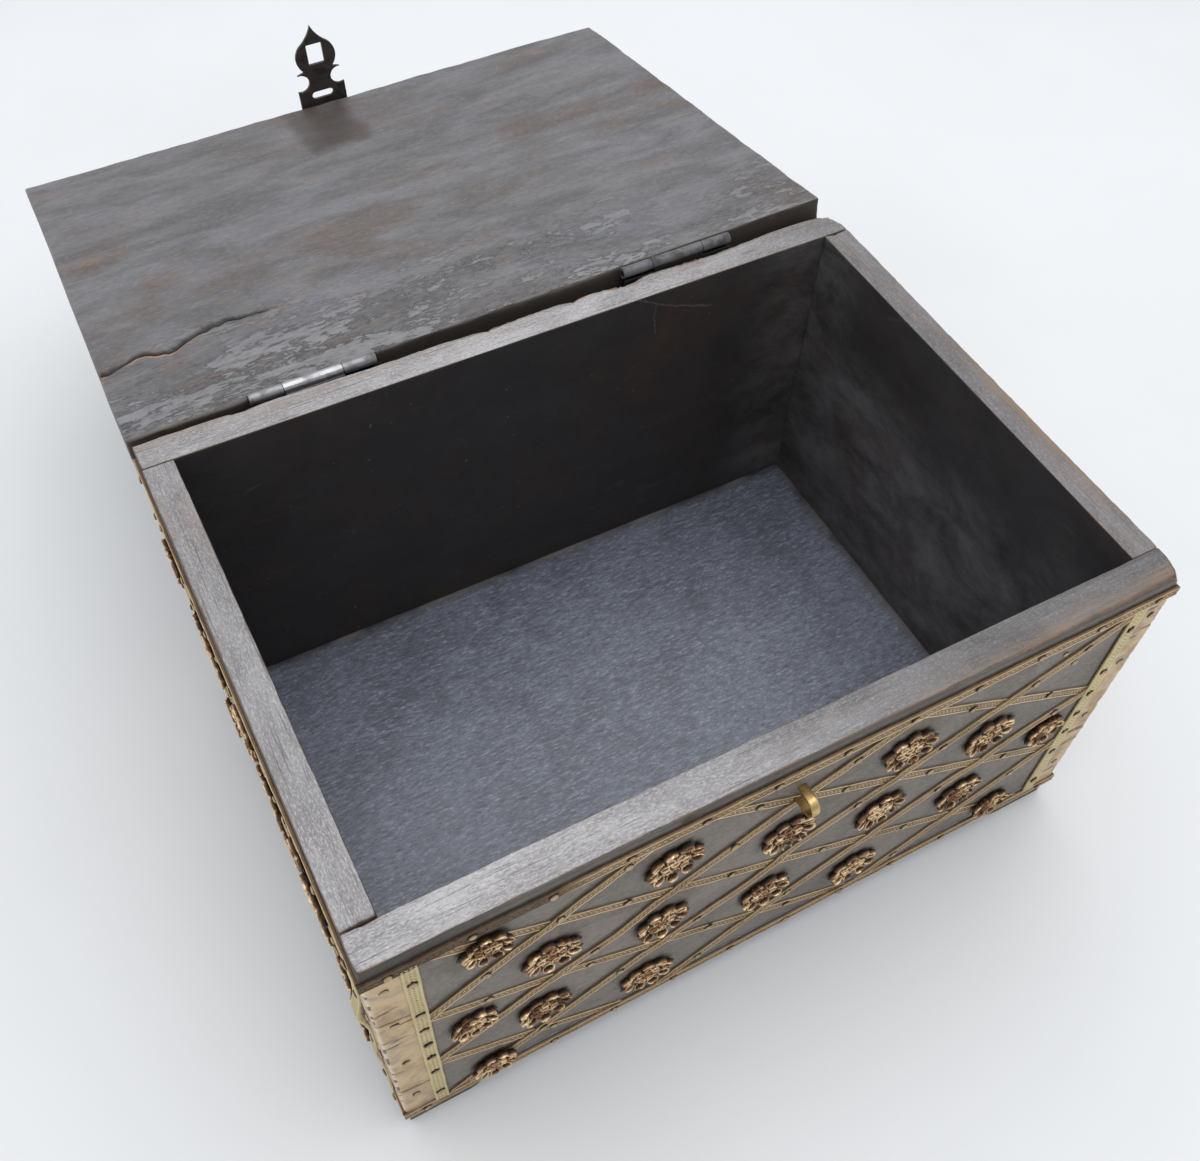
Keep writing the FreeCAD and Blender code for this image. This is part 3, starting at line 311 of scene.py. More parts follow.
def node_solids(node):
    """The lowest and highest corners of each separate solid in a CAD node."""
    points = node_points(node)
    mesh = frame["nodes"][node].data
    edges = np.zeros(len(mesh.edges) * 2, int)
    mesh.edges.foreach_get("vertices", edges)
    places, index = np.unique(np.round(points / (MM / 100)), axis=0, return_inverse=True)
    pairs = index.ravel()[edges.reshape(-1, 2)]
    label = np.arange(len(places))
    while True:
        low = np.minimum(label[pairs[:, 0]], label[pairs[:, 1]])
        new = label.copy()
        np.minimum.at(new, pairs[:, 0], low)
        np.minimum.at(new, pairs[:, 1], low)
        if (new == label).all():
            break
        label = new
    solid = label[index.ravel()]
    return [(points[solid == k].min(0), points[solid == k].max(0)) for k in np.unique(solid)]


def turned(points, matrix):
    """Points carried by a 4 by 4 matrix."""
    m = np.array(matrix)
    return np.asarray(points) @ m[:3, :3].T + m[:3, 3]


def joint_turn(joint, degrees):
    """The matrix that turns the joint's child by an angle about its line."""
    pivot = Matrix.Translation(joint["pos_m"])
    return pivot @ Matrix.Rotation(math.radians(degrees), 4, Vector(joint["axis"])) @ pivot.inverted()


# From the shut lid, which lies square on the box, to the lid that stands open.
OPEN = joint_turn(LID_HINGE, -LID_HINGE["range_deg"][1])


def side_lines(low, high, step, arris):
    """Grid lines along one side of a board: closer over its rounded arrises."""
    near = arris * np.array((0, 0.2, 0.5, 1.0, 1.7))
    count = max(2, int(round((high - low - 2 * near[-1]) / step)))
    middle = np.linspace(low + near[-1], high - near[-1], count + 1)
    return np.concatenate((low + near[:-1], middle, (high - near[:-1])[::-1]))


def block_skin(lines):
    """The skin of a block on three sets of grid lines: its points and its quads."""
    counts = [len(line) for line in lines]
    corners = []
    for axis in range(3):
        across, along = (axis + 1) % 3, (axis + 2) % 3
        quads = grid_faces(counts[across], counts[along])
        for side in (0, 1):
            number = np.zeros((len(quads), 4, 3), int)
            number[..., axis] = (counts[axis] - 1) * side
            order = quads if side else quads[:, ::-1]
            number[..., across] = order // counts[along]
            number[..., along] = order % counts[along]
            corners.append(number)
    corners = np.concatenate(corners)
    keys = (corners[..., 0] * counts[1] + corners[..., 1]) * counts[2] + corners[..., 2]
    used, faces = np.unique(keys.ravel(), return_inverse=True)
    i, rest = used // (counts[1] * counts[2]), used % (counts[1] * counts[2])
    j, k = rest // counts[2], rest % counts[2]
    points = np.stack((lines[0][i], lines[1][j], lines[2][k]), -1)
    return points, faces.reshape(-1, 4)


def worn_block(low, high, step, arris, chips=(), lines=None, swell=0.12 * MM):
    """A board's skin. Each point p goes to q + r n, where q is p held r inside the block and n
    points from q to p. The round r is the arris with noise, and a bell for each chip."""
    lines = lines or [side_lines(low[k], high[k], step, arris) for k in range(3)]
    points, faces = block_skin(lines)
    round_off = arris * (1 + 0.45 * noise(points, 9 * MM) + 0.3 * noise(points, 2.5 * MM))
    for spot, reach, depth in chips:
        away = np.linalg.norm((points - spot) / reach, axis=-1)
        round_off += depth * np.exp(-(away**2)) * (1 + 0.6 * noise(points, 2.2 * MM))
    round_off = np.clip(round_off, arris / 4, 0.45 * np.min(high - low))[:, None]
    inner = np.clip(points, low + round_off, high - round_off)
    out = unit(points - inner)
    worn = inner + round_off * out
    arris_share = np.clip((1 - np.abs(out).max(-1)) / 0.3, 0, 1)
    worn += out * (swell * noise(points, 30 * MM) + swell / 2 * noise(points, 7 * MM, (3, 3, 1)))[:, None]
    return worn, faces, out, arris_share, points


def face_place(face, u, z, out):
    """A place on a decorated face: across, up and out of it."""
    start, across, outward = FACES[face]
    return start + u[..., None] * across + z[..., None] * Z + out[..., None] * outward


def face_uv(face, points):
    """How far across and up a decorated face some places are."""
    start, across, outward = FACES[face]
    return (points - start) @ across, points[..., 2], (points - start) @ outward


def lattice_field(face):
    """Half the lattice's width on a face, and the middles of its top and bottom strips."""
    low, high = (np.array(corner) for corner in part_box("%s_%s" % (face, UPRIGHTS[face][1])))
    inner = min(abs((low - FACES[face][0]) @ FACES[face][1]), abs((high - FACES[face][0]) @ FACES[face][1]))
    top = sum(corner.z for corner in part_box(face + "_top_strip")) / 2
    bottom = sum(corner.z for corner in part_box(face + "_bottom_strip")) / 2
    return inner - LATTICE_MARGIN, top, bottom


def lattice_lines(face, shares):
    """The lattice's lines of one direction, as places across and up the face."""
    half, top, bottom = lattice_field(face)
    lines = []
    for line in shares[face]:
        share = np.array(line)
        u = half * (2 * share[:, 0] / COLUMNS[face] - 1)
        lines.append(np.stack((u, top + (bottom - top) * share[:, 1] / ROWS), -1))
    return lines


def line_distance(places, line):
    """The distance from places to a bent line: the least over its straight stretches."""
    best = np.full(places.shape[:-1], np.inf)
    for a, b in zip(line[:-1], line[1:]):
        along = np.clip(((places - a) @ (b - a)) / ((b - a) @ (b - a)), 0, 1)
        best = np.minimum(best, np.linalg.norm(places - a - along[..., None] * (b - a), axis=-1))
    return best


def even_line(line, step, soften):
    """The line in even steps, its corners softened by a running mean."""
    lengths = np.concatenate(((0,), np.cumsum(np.linalg.norm(np.diff(line, axis=0), axis=-1))))
    count = max(4, int(round(lengths[-1] / step)))
    at = np.linspace(0, lengths[-1], count + 1)
    even = np.stack([np.interp(at, lengths, line[:, k]) for k in range(line.shape[1])], -1)
    reach = max(1, int(soften / step))
    padded = np.pad(even, ((reach, reach), (0, 0)), mode="reflect", reflect_type="odd")
    kernel = np.ones(2 * reach + 1) / (2 * reach + 1)
    return np.stack([np.convolve(padded[:, k], kernel, "valid") for k in range(line.shape[1])], -1), at


TACKS = {}


def tack_places(face):
    """Each tack head's place across and up a face, how far out its back is, and its radius."""
    if face not in TACKS:
        places = []
        for low, high in node_solids(face + "_nails"):
            u, z, out = face_uv(face, np.stack((low, high)))
            places.append((u.mean(), z.mean(), out.min(), np.ptp(z) / 2))
        TACKS[face] = np.array(places)
    return TACKS[face]


def tack_shadow(face, u, z):
    """0 at the rim of a tack head and 1 away from it, the least over a face's tacks."""
    share = np.ones(u.shape)
    for tack_u, tack_z, _, radius in tack_places(face):
        away = np.hypot(u - tack_u, z - tack_z)
        share = np.minimum(share, smooth(away, radius - 0.1 * MM, radius + 0.45 * MM))
    return share


# Across a strip, from edge to edge: where its points are.
ACROSS_SHARES = np.array((0, 0.13, 0.26, 0.39, 0.52, 0.66, 0.78, 0.88, 0.96, 1.0))
ACROSS_SHARES = np.concatenate((-ACROSS_SHARES[:0:-1], ACROSS_SHARES))


def stamped_height(along, across, half, brass):
    """A strip's height and how rubbed it is: two ridges near its edges and, between them, a chain
    of rings with a hollow in each, every pitch. Across goes from -1 at one edge to 1 at the
    other, and along is in metres."""
    pitch, relief = brass.ring_pitch, brass.relief
    edge = bump(np.abs(across), 0.84, 0.12)
    from_ring = np.hypot((along / pitch + 0.5) % 1 - 0.5, across * half / pitch) / 0.36
    ring = bump(from_ring, 1, 0.4) * (np.abs(across) < 0.68)
    hollow = bump(from_ring, 0, 0.5)
    height = smooth(1 - np.abs(across), 0, 0.07) * relief * (0.6 + edge + 0.7 * ring - 0.5 * hollow)
    return height, np.clip(0.36 + 0.64 * edge + 0.4 * ring - 0.5 * hollow, 0, 1)


def strip_base(node, face, brass):
    """The height that brings a strip's ridges level with its node's outer face."""
    corners = np.array([list(corner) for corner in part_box(node)])
    return face_uv(face, corners)[2].max() - 1.6 * brass.relief


def add_strip(pile, face, line, width, base, brass, lift=None, field=None, ends=0.0, dark_end=False):
    """One strip of sheet brass: its stamped height carried along a line on the face."""
    first, last = line[1] - line[0], line[-1] - line[-2]
    line = line.copy()
    line[0] -= ends * first / np.linalg.norm(first)
    line[-1] += ends * last / np.linalg.norm(last)
    path, at = even_line(line, brass.ring_pitch / 5, 2.5 * MM)
    drift = noise(np.stack((at, np.full_like(at, line[0, 1] * 7), np.full_like(at, base)), -1), 22 * MM)
    along = unit(np.gradient(path, axis=0))
    side = np.stack((-along[:, 1], along[:, 0]), -1)
    path = path + side * (0.22 * MM * drift)[:, None]
    wave = noise(np.stack((at, at * 0, at * 0 + base), -1), 9 * MM)
    share = ACROSS_SHARES[None, :] * (1 + 0.04 * wave)[:, None]
    flat = path[:, None, :] + side[:, None, :] * (share * width / 2)[..., None]
    height, relief = stamped_height(at[:, None], ACROSS_SHARES[None, :], width / 2, brass)
    dent = noise(np.stack((flat[..., 0], flat[..., 1], flat[..., 0] * 0), -1), 5 * MM)
    height = base + height + 0.1 * MM * dent
    if lift is not None:
        height = height + lift(flat)
    keep = np.ones(len(path), bool)
    if field is not None:
        low, high = field
        inside = ((flat > low) & (flat < high)).all(-1).any(-1)
        keep = inside | np.roll(inside, 1) | np.roll(inside, -1)
        flat = np.clip(flat, low, high)
    flat, height, relief = flat[keep], height[keep], np.broadcast_to(relief, height.shape)[keep]
    relief = relief * tack_shadow(face, flat[..., 0], flat[..., 1])
    if dark_end:
        relief = relief * (1 - 0.62 * smooth(-flat[..., 0], 0.085, 0.115))
    under = np.full((len(flat), 2), -STRIP_SKIRT)
    corner = flat[:, (-1, 0)]
    rings = face_place(
        face,
        np.concatenate((flat[..., 0], corner[..., 0]), 1),
        np.concatenate((flat[..., 1], corner[..., 1]), 1),
        np.concatenate((height, under), 1),
    )
    # The skirt has no relief, so the recess colour paints shade down the strip's sides.
    pile.tube(rings, relief=np.concatenate((relief, np.zeros_like(under)), 1))


def new_group(name, inputs, outputs):
    """A shader node group: its inputs by their default values, its outputs, all plain values, and
    its input and output nodes."""
    tree = bpy.data.node_groups.new(name, "ShaderNodeTree")
    for label, value in inputs.items():
        kind = "NodeSocketVector" if isinstance(value, tuple) else "NodeSocketFloat"
        tree.interface.new_socket(label, in_out="INPUT", socket_type=kind).default_value = value
    for label in outputs:
        tree.interface.new_socket(label, in_out="OUTPUT", socket_type="NodeSocketFloat")
    return tree, tree.nodes.new("NodeGroupInput").outputs, tree.nodes.new("NodeGroupOutput").inputs


def feed(tree, socket, value):
    """Link an input from another node's output, or set it to a value."""
    if isinstance(value, bpy.types.NodeSocket):
        tree.links.new(value, socket)
    else:
        socket.default_value = value


def add_node(tree, kind, settings=None, **sockets):
    """A node with its settings, and its sockets by name."""
    made = tree.nodes.new(kind)
    for key, value in (settings or {}).items():
        setattr(made, key, value)
    for key, value in sockets.items():
        feed(tree, made.inputs[key.replace("_", " ")], value)
    return made


def maths(tree, operation, first, second=0.0):
    """One sum on two values, each a socket or a number."""
    made = tree.nodes.new("ShaderNodeMath")
    made.operation = operation
    feed(tree, made.inputs[0], first)
    feed(tree, made.inputs[1], second)
    return made.outputs[0]


def times(tree, first, second):
    """The product of two values."""
    return maths(tree, "MULTIPLY", first, second)


def plus(tree, first, second):
    """The sum of two values."""
    return maths(tree, "ADD", first, second)


def minus(tree, first, second):
    """The first value less the second."""
    return maths(tree, "SUBTRACT", first, second)


def vector_maths(tree, operation, first, second):
    """One sum on two vectors, each a socket or three numbers: the node's outputs."""
    made = tree.nodes.new("ShaderNodeVectorMath")
    made.operation = operation
    feed(tree, made.inputs[0], first)
    feed(tree, made.inputs[1], second)
    return made.outputs


def mixed(tree, share, first, second):
    """A colour between two, each a socket or a colour."""
    made = tree.nodes.new("ShaderNodeMix")
    made.data_type = "RGBA"
    feed(tree, made.inputs[0], share)
    for k, value in ((6, first), (7, second)):
        feed(tree, made.inputs[k], value if isinstance(value, bpy.types.NodeSocket) else (*value, 1))
    return made.outputs[2]


def stepped(tree, value, low, high, start=0.0, end=1.0):
    """A smooth step of a value from low to high, between start and end."""
    settings = {"interpolation_type": "SMOOTHSTEP"}
    made = add_node(tree, "ShaderNodeMapRange", settings, Value=value, From_Min=low, From_Max=high)
    made.inputs["To Min"].default_value = start
    made.inputs["To Max"].default_value = end
    return made.outputs[0]


def object_place(tree):
    """The place on the piece in its object's own coordinates."""
    return tree.nodes.new("ShaderNodeTexCoord").outputs["Object"]


def mapped(tree, vector, scale, turn=(0, 0, 0)):
    """A place stretched and turned."""
    return add_node(tree, "ShaderNodeMapping", Vector=vector, Scale=scale, Rotation=turn).outputs[0]


def noisy(tree, vector, scale, detail=4.0, rough=0.55, bend=0.0):
    """Blender's noise, from 0 to 1."""
    made = add_node(
        tree, "ShaderNodeTexNoise", Vector=vector, Scale=scale, Detail=detail, Roughness=rough,
        Distortion=bend
    )
    return made.outputs["Fac"]


def drawn(tree, vector, scale, detail=4.0, rough=0.55, bend=0.0, turn=(0, 0, 0)):
    """Noise drawn out along some axes and turned."""
    return noisy(tree, mapped(tree, vector, scale, turn), 1.0, detail, rough, bend)


def laid(tree, colour, over, value, low, high, start=0.0, end=1.0):
    """A colour with another laid over it where a value steps up from low to high."""
    return mixed(tree, stepped(tree, value, low, high, start, end), colour, over)


def attribute(tree, name):
    """A value that the mesh carries at its points."""
    return add_node(tree, "ShaderNodeAttribute", {"attribute_name": name}).outputs["Fac"]


def wood_group():
    """Old wood on any axis: long fibres, broad stains and fine cross scratches."""
    tree, given, result = new_group(
        "old_wood",
        {"Vector": (0, 0, 0), "Fibre": (12, 160, 160), "Scratch": (900, 60, 400)},
        ("Fibres", "Stains", "Scratches", "Fine"),
    )
    place_now = given["Vector"]
    fibres = drawn(tree, place_now, given["Fibre"], 5.0, 0.6, 0.6)
    stains = noisy(tree, place_now, 22.0, 5.0, 0.62, 0.4)
    turned_place = mapped(tree, place_now, (1, 1, 1), (0.15, 0.2, 0.5))
    scratches = stepped(tree, drawn(tree, turned_place, given["Scratch"], 3.0, 0.6), 0.5, 0.68)
    fine = noisy(tree, place_now, 900.0, 3.0, 0.6)
    for socket, target in zip((fibres, stains, scratches, fine), result):
        tree.links.new(socket, target)


def stroke_group():
    """A thin line from A to B: 1 on it and 0 beyond its width, from the distance to the segment."""
    tree, given, result = new_group(
        "stroke",
        {"Vector": (0, 0, 0), "A": (0, 0, 0), "B": (0, 0, 1), "Width": 0.001},
        ("Mask",),
    )
    to_place = vector_maths(tree, "SUBTRACT", given["Vector"], given["A"])["Vector"]
    whole = vector_maths(tree, "SUBTRACT", given["B"], given["A"])["Vector"]
    along = vector_maths(tree, "DOT_PRODUCT", to_place, whole)["Value"]
    share = maths(tree, "DIVIDE", along, vector_maths(tree, "DOT_PRODUCT", whole, whole)["Value"])
    share = maths(tree, "MINIMUM", maths(tree, "MAXIMUM", share, 0.0), 1.0)
    scaled = add_node(tree, "ShaderNodeVectorMath", {"operation": "SCALE"}, Scale=share)
    tree.links.new(whole, scaled.inputs[0])
    away = vector_maths(tree, "DISTANCE", to_place, scaled.outputs[0])["Value"]
    mask = minus(tree, 1.0, maths(tree, "DIVIDE", away, given["Width"]))
    tree.links.new(maths(tree, "MAXIMUM", mask, 0.0), result["Mask"])


def strokes(tree, vector, points, width, wander):
    """The most of several strokes through points, made ragged by noise that moves the place."""
    jitter = add_node(tree, "ShaderNodeTexNoise", Vector=vector, Scale=420.0, Detail=2.0)
    moved = add_node(tree, "ShaderNodeVectorMath", {"operation": "MULTIPLY_ADD"})
    tree.links.new(jitter.outputs["Color"], moved.inputs[0])
    moved.inputs[1].default_value = (2 * wander,) * 3
    centred = vector_maths(tree, "SUBTRACT", vector, (wander,) * 3)["Vector"]
    tree.links.new(centred, moved.inputs[2])
    most = 0.0
    for start, end in zip(points[:-1], points[1:]):
        mask = use_group(tree, "stroke", Vector=moved.outputs[0], A=start, B=end, Width=width)["Mask"]
        most = maths(tree, "MAXIMUM", mask, most)
    return most


def metal_group():
    """Old sheet metal: dirt and painted shade in its recesses, blotches of tarnish, fine scratches and a
    height.
    """
    tree, given, result = new_group(
        "old_metal",
        {"Vector": (0, 0, 0), "Relief": 1.0, "Blotch": 60.0},
        ("Clean", "Tarnish", "Height"),
    )
    place_now = given["Vector"]
    speck = noisy(tree, place_now, 700.0, 4.0, 0.65)
    clean = stepped(tree, plus(tree, given["Relief"], times(tree, speck, 0.5)), 0.3, 0.85)
    tarnish = stepped(tree, noisy(tree, place_now, given["Blotch"], 5.0, 0.6), 0.42, 0.7)
    scratch = drawn(tree, place_now, (500, 2200, 900), 3.0, turn=(0.4, 0.3, 0.7))
    height = plus(tree, times(tree, speck, 0.6), times(tree, scratch, 0.4))
    for socket, target in zip((clean, tarnish, height), result):
        tree.links.new(socket, target)


def use_group(tree, name, **sockets):
    """A shared group placed in a material with its own values."""
    return add_node(tree, "ShaderNodeGroup", {"node_tree": bpy.data.node_groups[name]}, **sockets).outputs


def new_material(name):
    """A material with its own principled shader and nothing else."""
    material = bpy.data.materials.new(name)
    material.use_nodes = True
    tree = material.node_tree
    tree.nodes.clear()
    shader = tree.nodes.new("ShaderNodeBsdfPrincipled")
    tree.links.new(shader.outputs[0], tree.nodes.new("ShaderNodeOutputMaterial").inputs["Surface"])
    return material, tree, shader


def finish_material(tree, shader, colour, rough, height, depth, metallic=0.0):
    """Join the colour, the roughness and a bump of a real depth to the shader."""
    tree.links.new(colour, shader.inputs["Base Color"])
    tree.links.new(rough, shader.inputs["Roughness"])
    made = add_node(tree, "ShaderNodeBump", Height=height, Distance=depth, Strength=1.0)
    tree.links.new(made.outputs[0], shader.inputs["Normal"])
    feed(tree, shader.inputs["Metallic"], metallic)


def shaded(colour, factor):
    """A colour made lighter or darker."""
    return [min(1.0, part * factor) for part in colour]


def grain_place(tree):
    """The place with x along the board's grain: turned a quarter for the side walls."""
    spot = object_place(tree)
    made = tree.nodes.new("ShaderNodeMix")
    made.data_type = "VECTOR"
    tree.links.new(attribute(tree, "sideways"), made.inputs[0])
    tree.links.new(spot, made.inputs[4])
    tree.links.new(mapped(tree, spot, (1, 1, 1), (0, 0, math.pi / 2)), made.inputs[5])
    return made.outputs[1]


def rim_colour(tree, spot, wood, parts):
    """The walls' tops: satin grey with long streaks; pale and finely hatched where most rubbed, with
    painted sheen and glints there, most at the front left; brown streaks where the paint is gone."""
    pale, brown = attribute(tree, "pale"), attribute(tree, "brown")
    shallow = drawn(tree, spot, (420, 1700, 900), 3.0, 0.7, turn=(0, 0, 0.3))
    steep = drawn(tree, spot, (420, 1500, 900), 3.0, 0.7, turn=(0, 0, -0.9))
    drift = stepped(tree, drawn(tree, spot, (26, 70, 70), 6.0, 0.66, 0.4), 0.32, 0.68)
    streaks = drawn(tree, spot, (18, 620, 620), 4.0, 0.7)
    quiet = mixed(tree, drift, shaded(wood.rim, 0.17), shaded(wood.rim, 0.38))
    quiet = laid(tree, quiet, shaded(wood.rim, 0.56), streaks, 0.45, 0.72, 0, 0.5)
    rubbed = mixed(tree, drift, shaded(wood.rim, 0.82), shaded(wood.rim, 1.45))
    # The pale share is wear and painted sheen, highest at the front left.
    colour = mixed(tree, pale, quiet, rubbed)
    hatch = plus(tree, times(tree, pale, 0.7), 0.14)
    # Light and dark hatch lines, strongest where pale: scratches, the light ones with painted glints.
    for field, high, low, light, dark in ((shallow, 0.5, 0.46, 0.6, 0.7), (steep, 0.52, 0.42, 0.5, 0.5)):
        lit = times(tree, stepped(tree, field, high, high + 0.18, 0, light), hatch)
        colour = mixed(tree, lit, colour, shaded(wood.rim, 1.9))
        dim = times(tree, stepped(tree, field, low, low - 0.12, 0, dark), hatch)
        colour = mixed(tree, dim, colour, shaded(wood.rim, 0.42))
    specks = stepped(tree, drawn(tree, spot, (700, 1500, 1500), 3.0, 0.6), 0.53, 0.62, 0, 0.5)
    specks = times(tree, specks, plus(tree, times(tree, pale, 0.8), 0.2))
    colour = mixed(tree, specks, colour, shaded(wood.rim, 1.9))
    fibres = drawn(tree, spot, (26, 1100, 1100), 4.0, 0.7, turn=(0, 0, 0.03))
    colour = laid(tree, colour, shaded(wood.rim, 0.2), fibres, 0.44, 0.34, 0, 0.7)
    gone = stepped(tree, drawn(tree, spot, (14, 260, 260), 6.0, 0.7, 0.3), 0.4, 0.62, 0.15, 1.0)
    colour = mixed(tree, times(tree, gone, brown), colour, wood.bare)
    return laid(tree, colour, STAIN, parts["Stains"], 0.6, 0.74, 0, 0.4), shallow


def inside_colour(tree, spot, wood, parts):
    """The walls' inner faces: brown-black, with scuffs, specks, a dusty corner and a dusty crack."""
    colour = laid(tree, wood.inside, INSIDE_STAIN, parts["Stains"], 0.45, 0.75, 0, 0.8)
    scuffs = drawn(tree, spot, (24, 60, 60), 6.0, 0.7, 1.0, turn=(0.4, 0.3, 0.2))
    colour = laid(tree, colour, SCUFF, scuffs, 0.6, 0.75, 0, 0.5)
    dust = stepped(tree, drawn(tree, spot, (26, 40, 40), 8.0, 0.76, 0.3, turn=(0.3, 0.3, 0)), 0.25, 0.8)
    colour = mixed(tree, times(tree, times(tree, dust, attribute(tree, "dust")), 0.8), colour, WALL_DUST)
    specks = stepped(tree, noisy(tree, spot, 420.0, 2.0, 0.4), 0.76, 0.8, 0, 0.45)
    colour = mixed(tree, specks, colour, SPECK)
    crack = strokes(tree, object_place(tree), INNER_CRACK, 0.75 * MM, 1.2 * MM)
    branch = strokes(tree, object_place(tree), INNER_BRANCH, 0.55 * MM, 1.2 * MM)
    crack = times(tree, maths(tree, "MAXIMUM", crack, branch), 0.8)
    return mixed(tree, crack, colour, CRACK_DUST)


def outside_colour(tree, spot, wood, parts):
    """The walls' outer faces: grey satin, dark by the brass with dirt and painted shadow, and black-brown
    above it.
    """
    stained = stepped(tree, parts["Stains"], 0.3, 0.7)
    colour = mixed(tree, stained, shaded(wood.outside, 1.12), shaded(wood.outside, 0.72))
    colour = laid(tree, colour, shaded(wood.outside, 1.6), parts["Fibres"], 0.55, 0.8, 0, 0.35)
    dirt = stepped(tree, noisy(tree, spot, 42.0, 6.0, 0.7, 0.5), 0.48, 0.68, 0, 0.55)
    colour = mixed(tree, dirt, colour, BROWN_DIRT)
    brushed = drawn(tree, spot, (500, 900, 1400), 3.0, 0.65, turn=(0, 0.5, 0))
    colour = laid(tree, colour, shaded(wood.outside, 0.42), brushed, 0.48, 0.36, 0, 0.4)
    colour = laid(tree, colour, shaded(wood.outside, 1.7), brushed, 0.52, 0.66, 0, 0.4)
    streaks = drawn(tree, spot, (40, 700, 900), 4.0, 0.65)
    band = times(tree, attribute(tree, "band"), stepped(tree, streaks, 0.25, 0.65, 0.55, 1.0))
    colour = mixed(tree, band, colour, laid(tree, BAND_DARK, BAND_BROWN, streaks, 0.5, 0.7))
    # Darker by the brass: dirt, and painted shadow on the strips' upper-left sides and round the rosettes.
    return mixed(tree, attribute(tree, "grime"), colour, SOOT_AND_SHADOW)


# The crack down from the rim inside the back wall, and its branch.
INNER_CRACK = (
    (0.057, 0.1105, 0.188), (0.063, 0.1105, 0.1847), (0.0698, 0.1105, 0.1802),
    (0.084, 0.1105, 0.1742), (0.0997, 0.1105, 0.1684),
)
INNER_BRANCH = ((0.068, 0.1105, 0.1805), (0.0672, 0.1105, 0.173), (0.0684, 0.1105, 0.163))


def box_wood(wood):
    """The walls: grey outside, black inside, pale scratched rim with painted sheen, bare brown patches."""
    material, tree, shader = new_material("box_wood")
    spot = grain_place(tree)
    parts = use_group(tree, "old_wood", Vector=spot, Fibre=(14, 260, 260))
    colour = outside_colour(tree, spot, wood, parts)
    colour = mixed(tree, attribute(tree, "inside"), colour, inside_colour(tree, spot, wood, parts))
    rim, scratches = rim_colour(tree, spot, wood, parts)
    top = attribute(tree, "top")
    colour = mixed(tree, top, colour, rim)
    worn = stepped(tree, noisy(tree, spot, 140.0, 4.0, 0.6), 0.35, 0.6, 0.25, 1.0)
    edge = laid(tree, EDGE_DARK, EDGE_BARE, parts["Stains"], 0.35, 0.6)
    colour = mixed(tree, times(tree, attribute(tree, "arris"), worn), colour, edge)
    rough = plus(tree, 0.47, times(tree, parts["Fine"], 0.2))
    rough = minus(tree, rough, times(tree, top, 0.14))
    height = times(tree, parts["Fibres"], 0.5)
    hatched = plus(tree, times(tree, attribute(tree, "pale"), 0.7), 0.2)
    height = plus(tree, height, times(tree, times(tree, scratches, top), hatched))
    height = plus(tree, height, times(tree, parts["Fine"], 0.12))
    finish_material(tree, shader, colour, rough, height, 0.3 * MM)
    return material


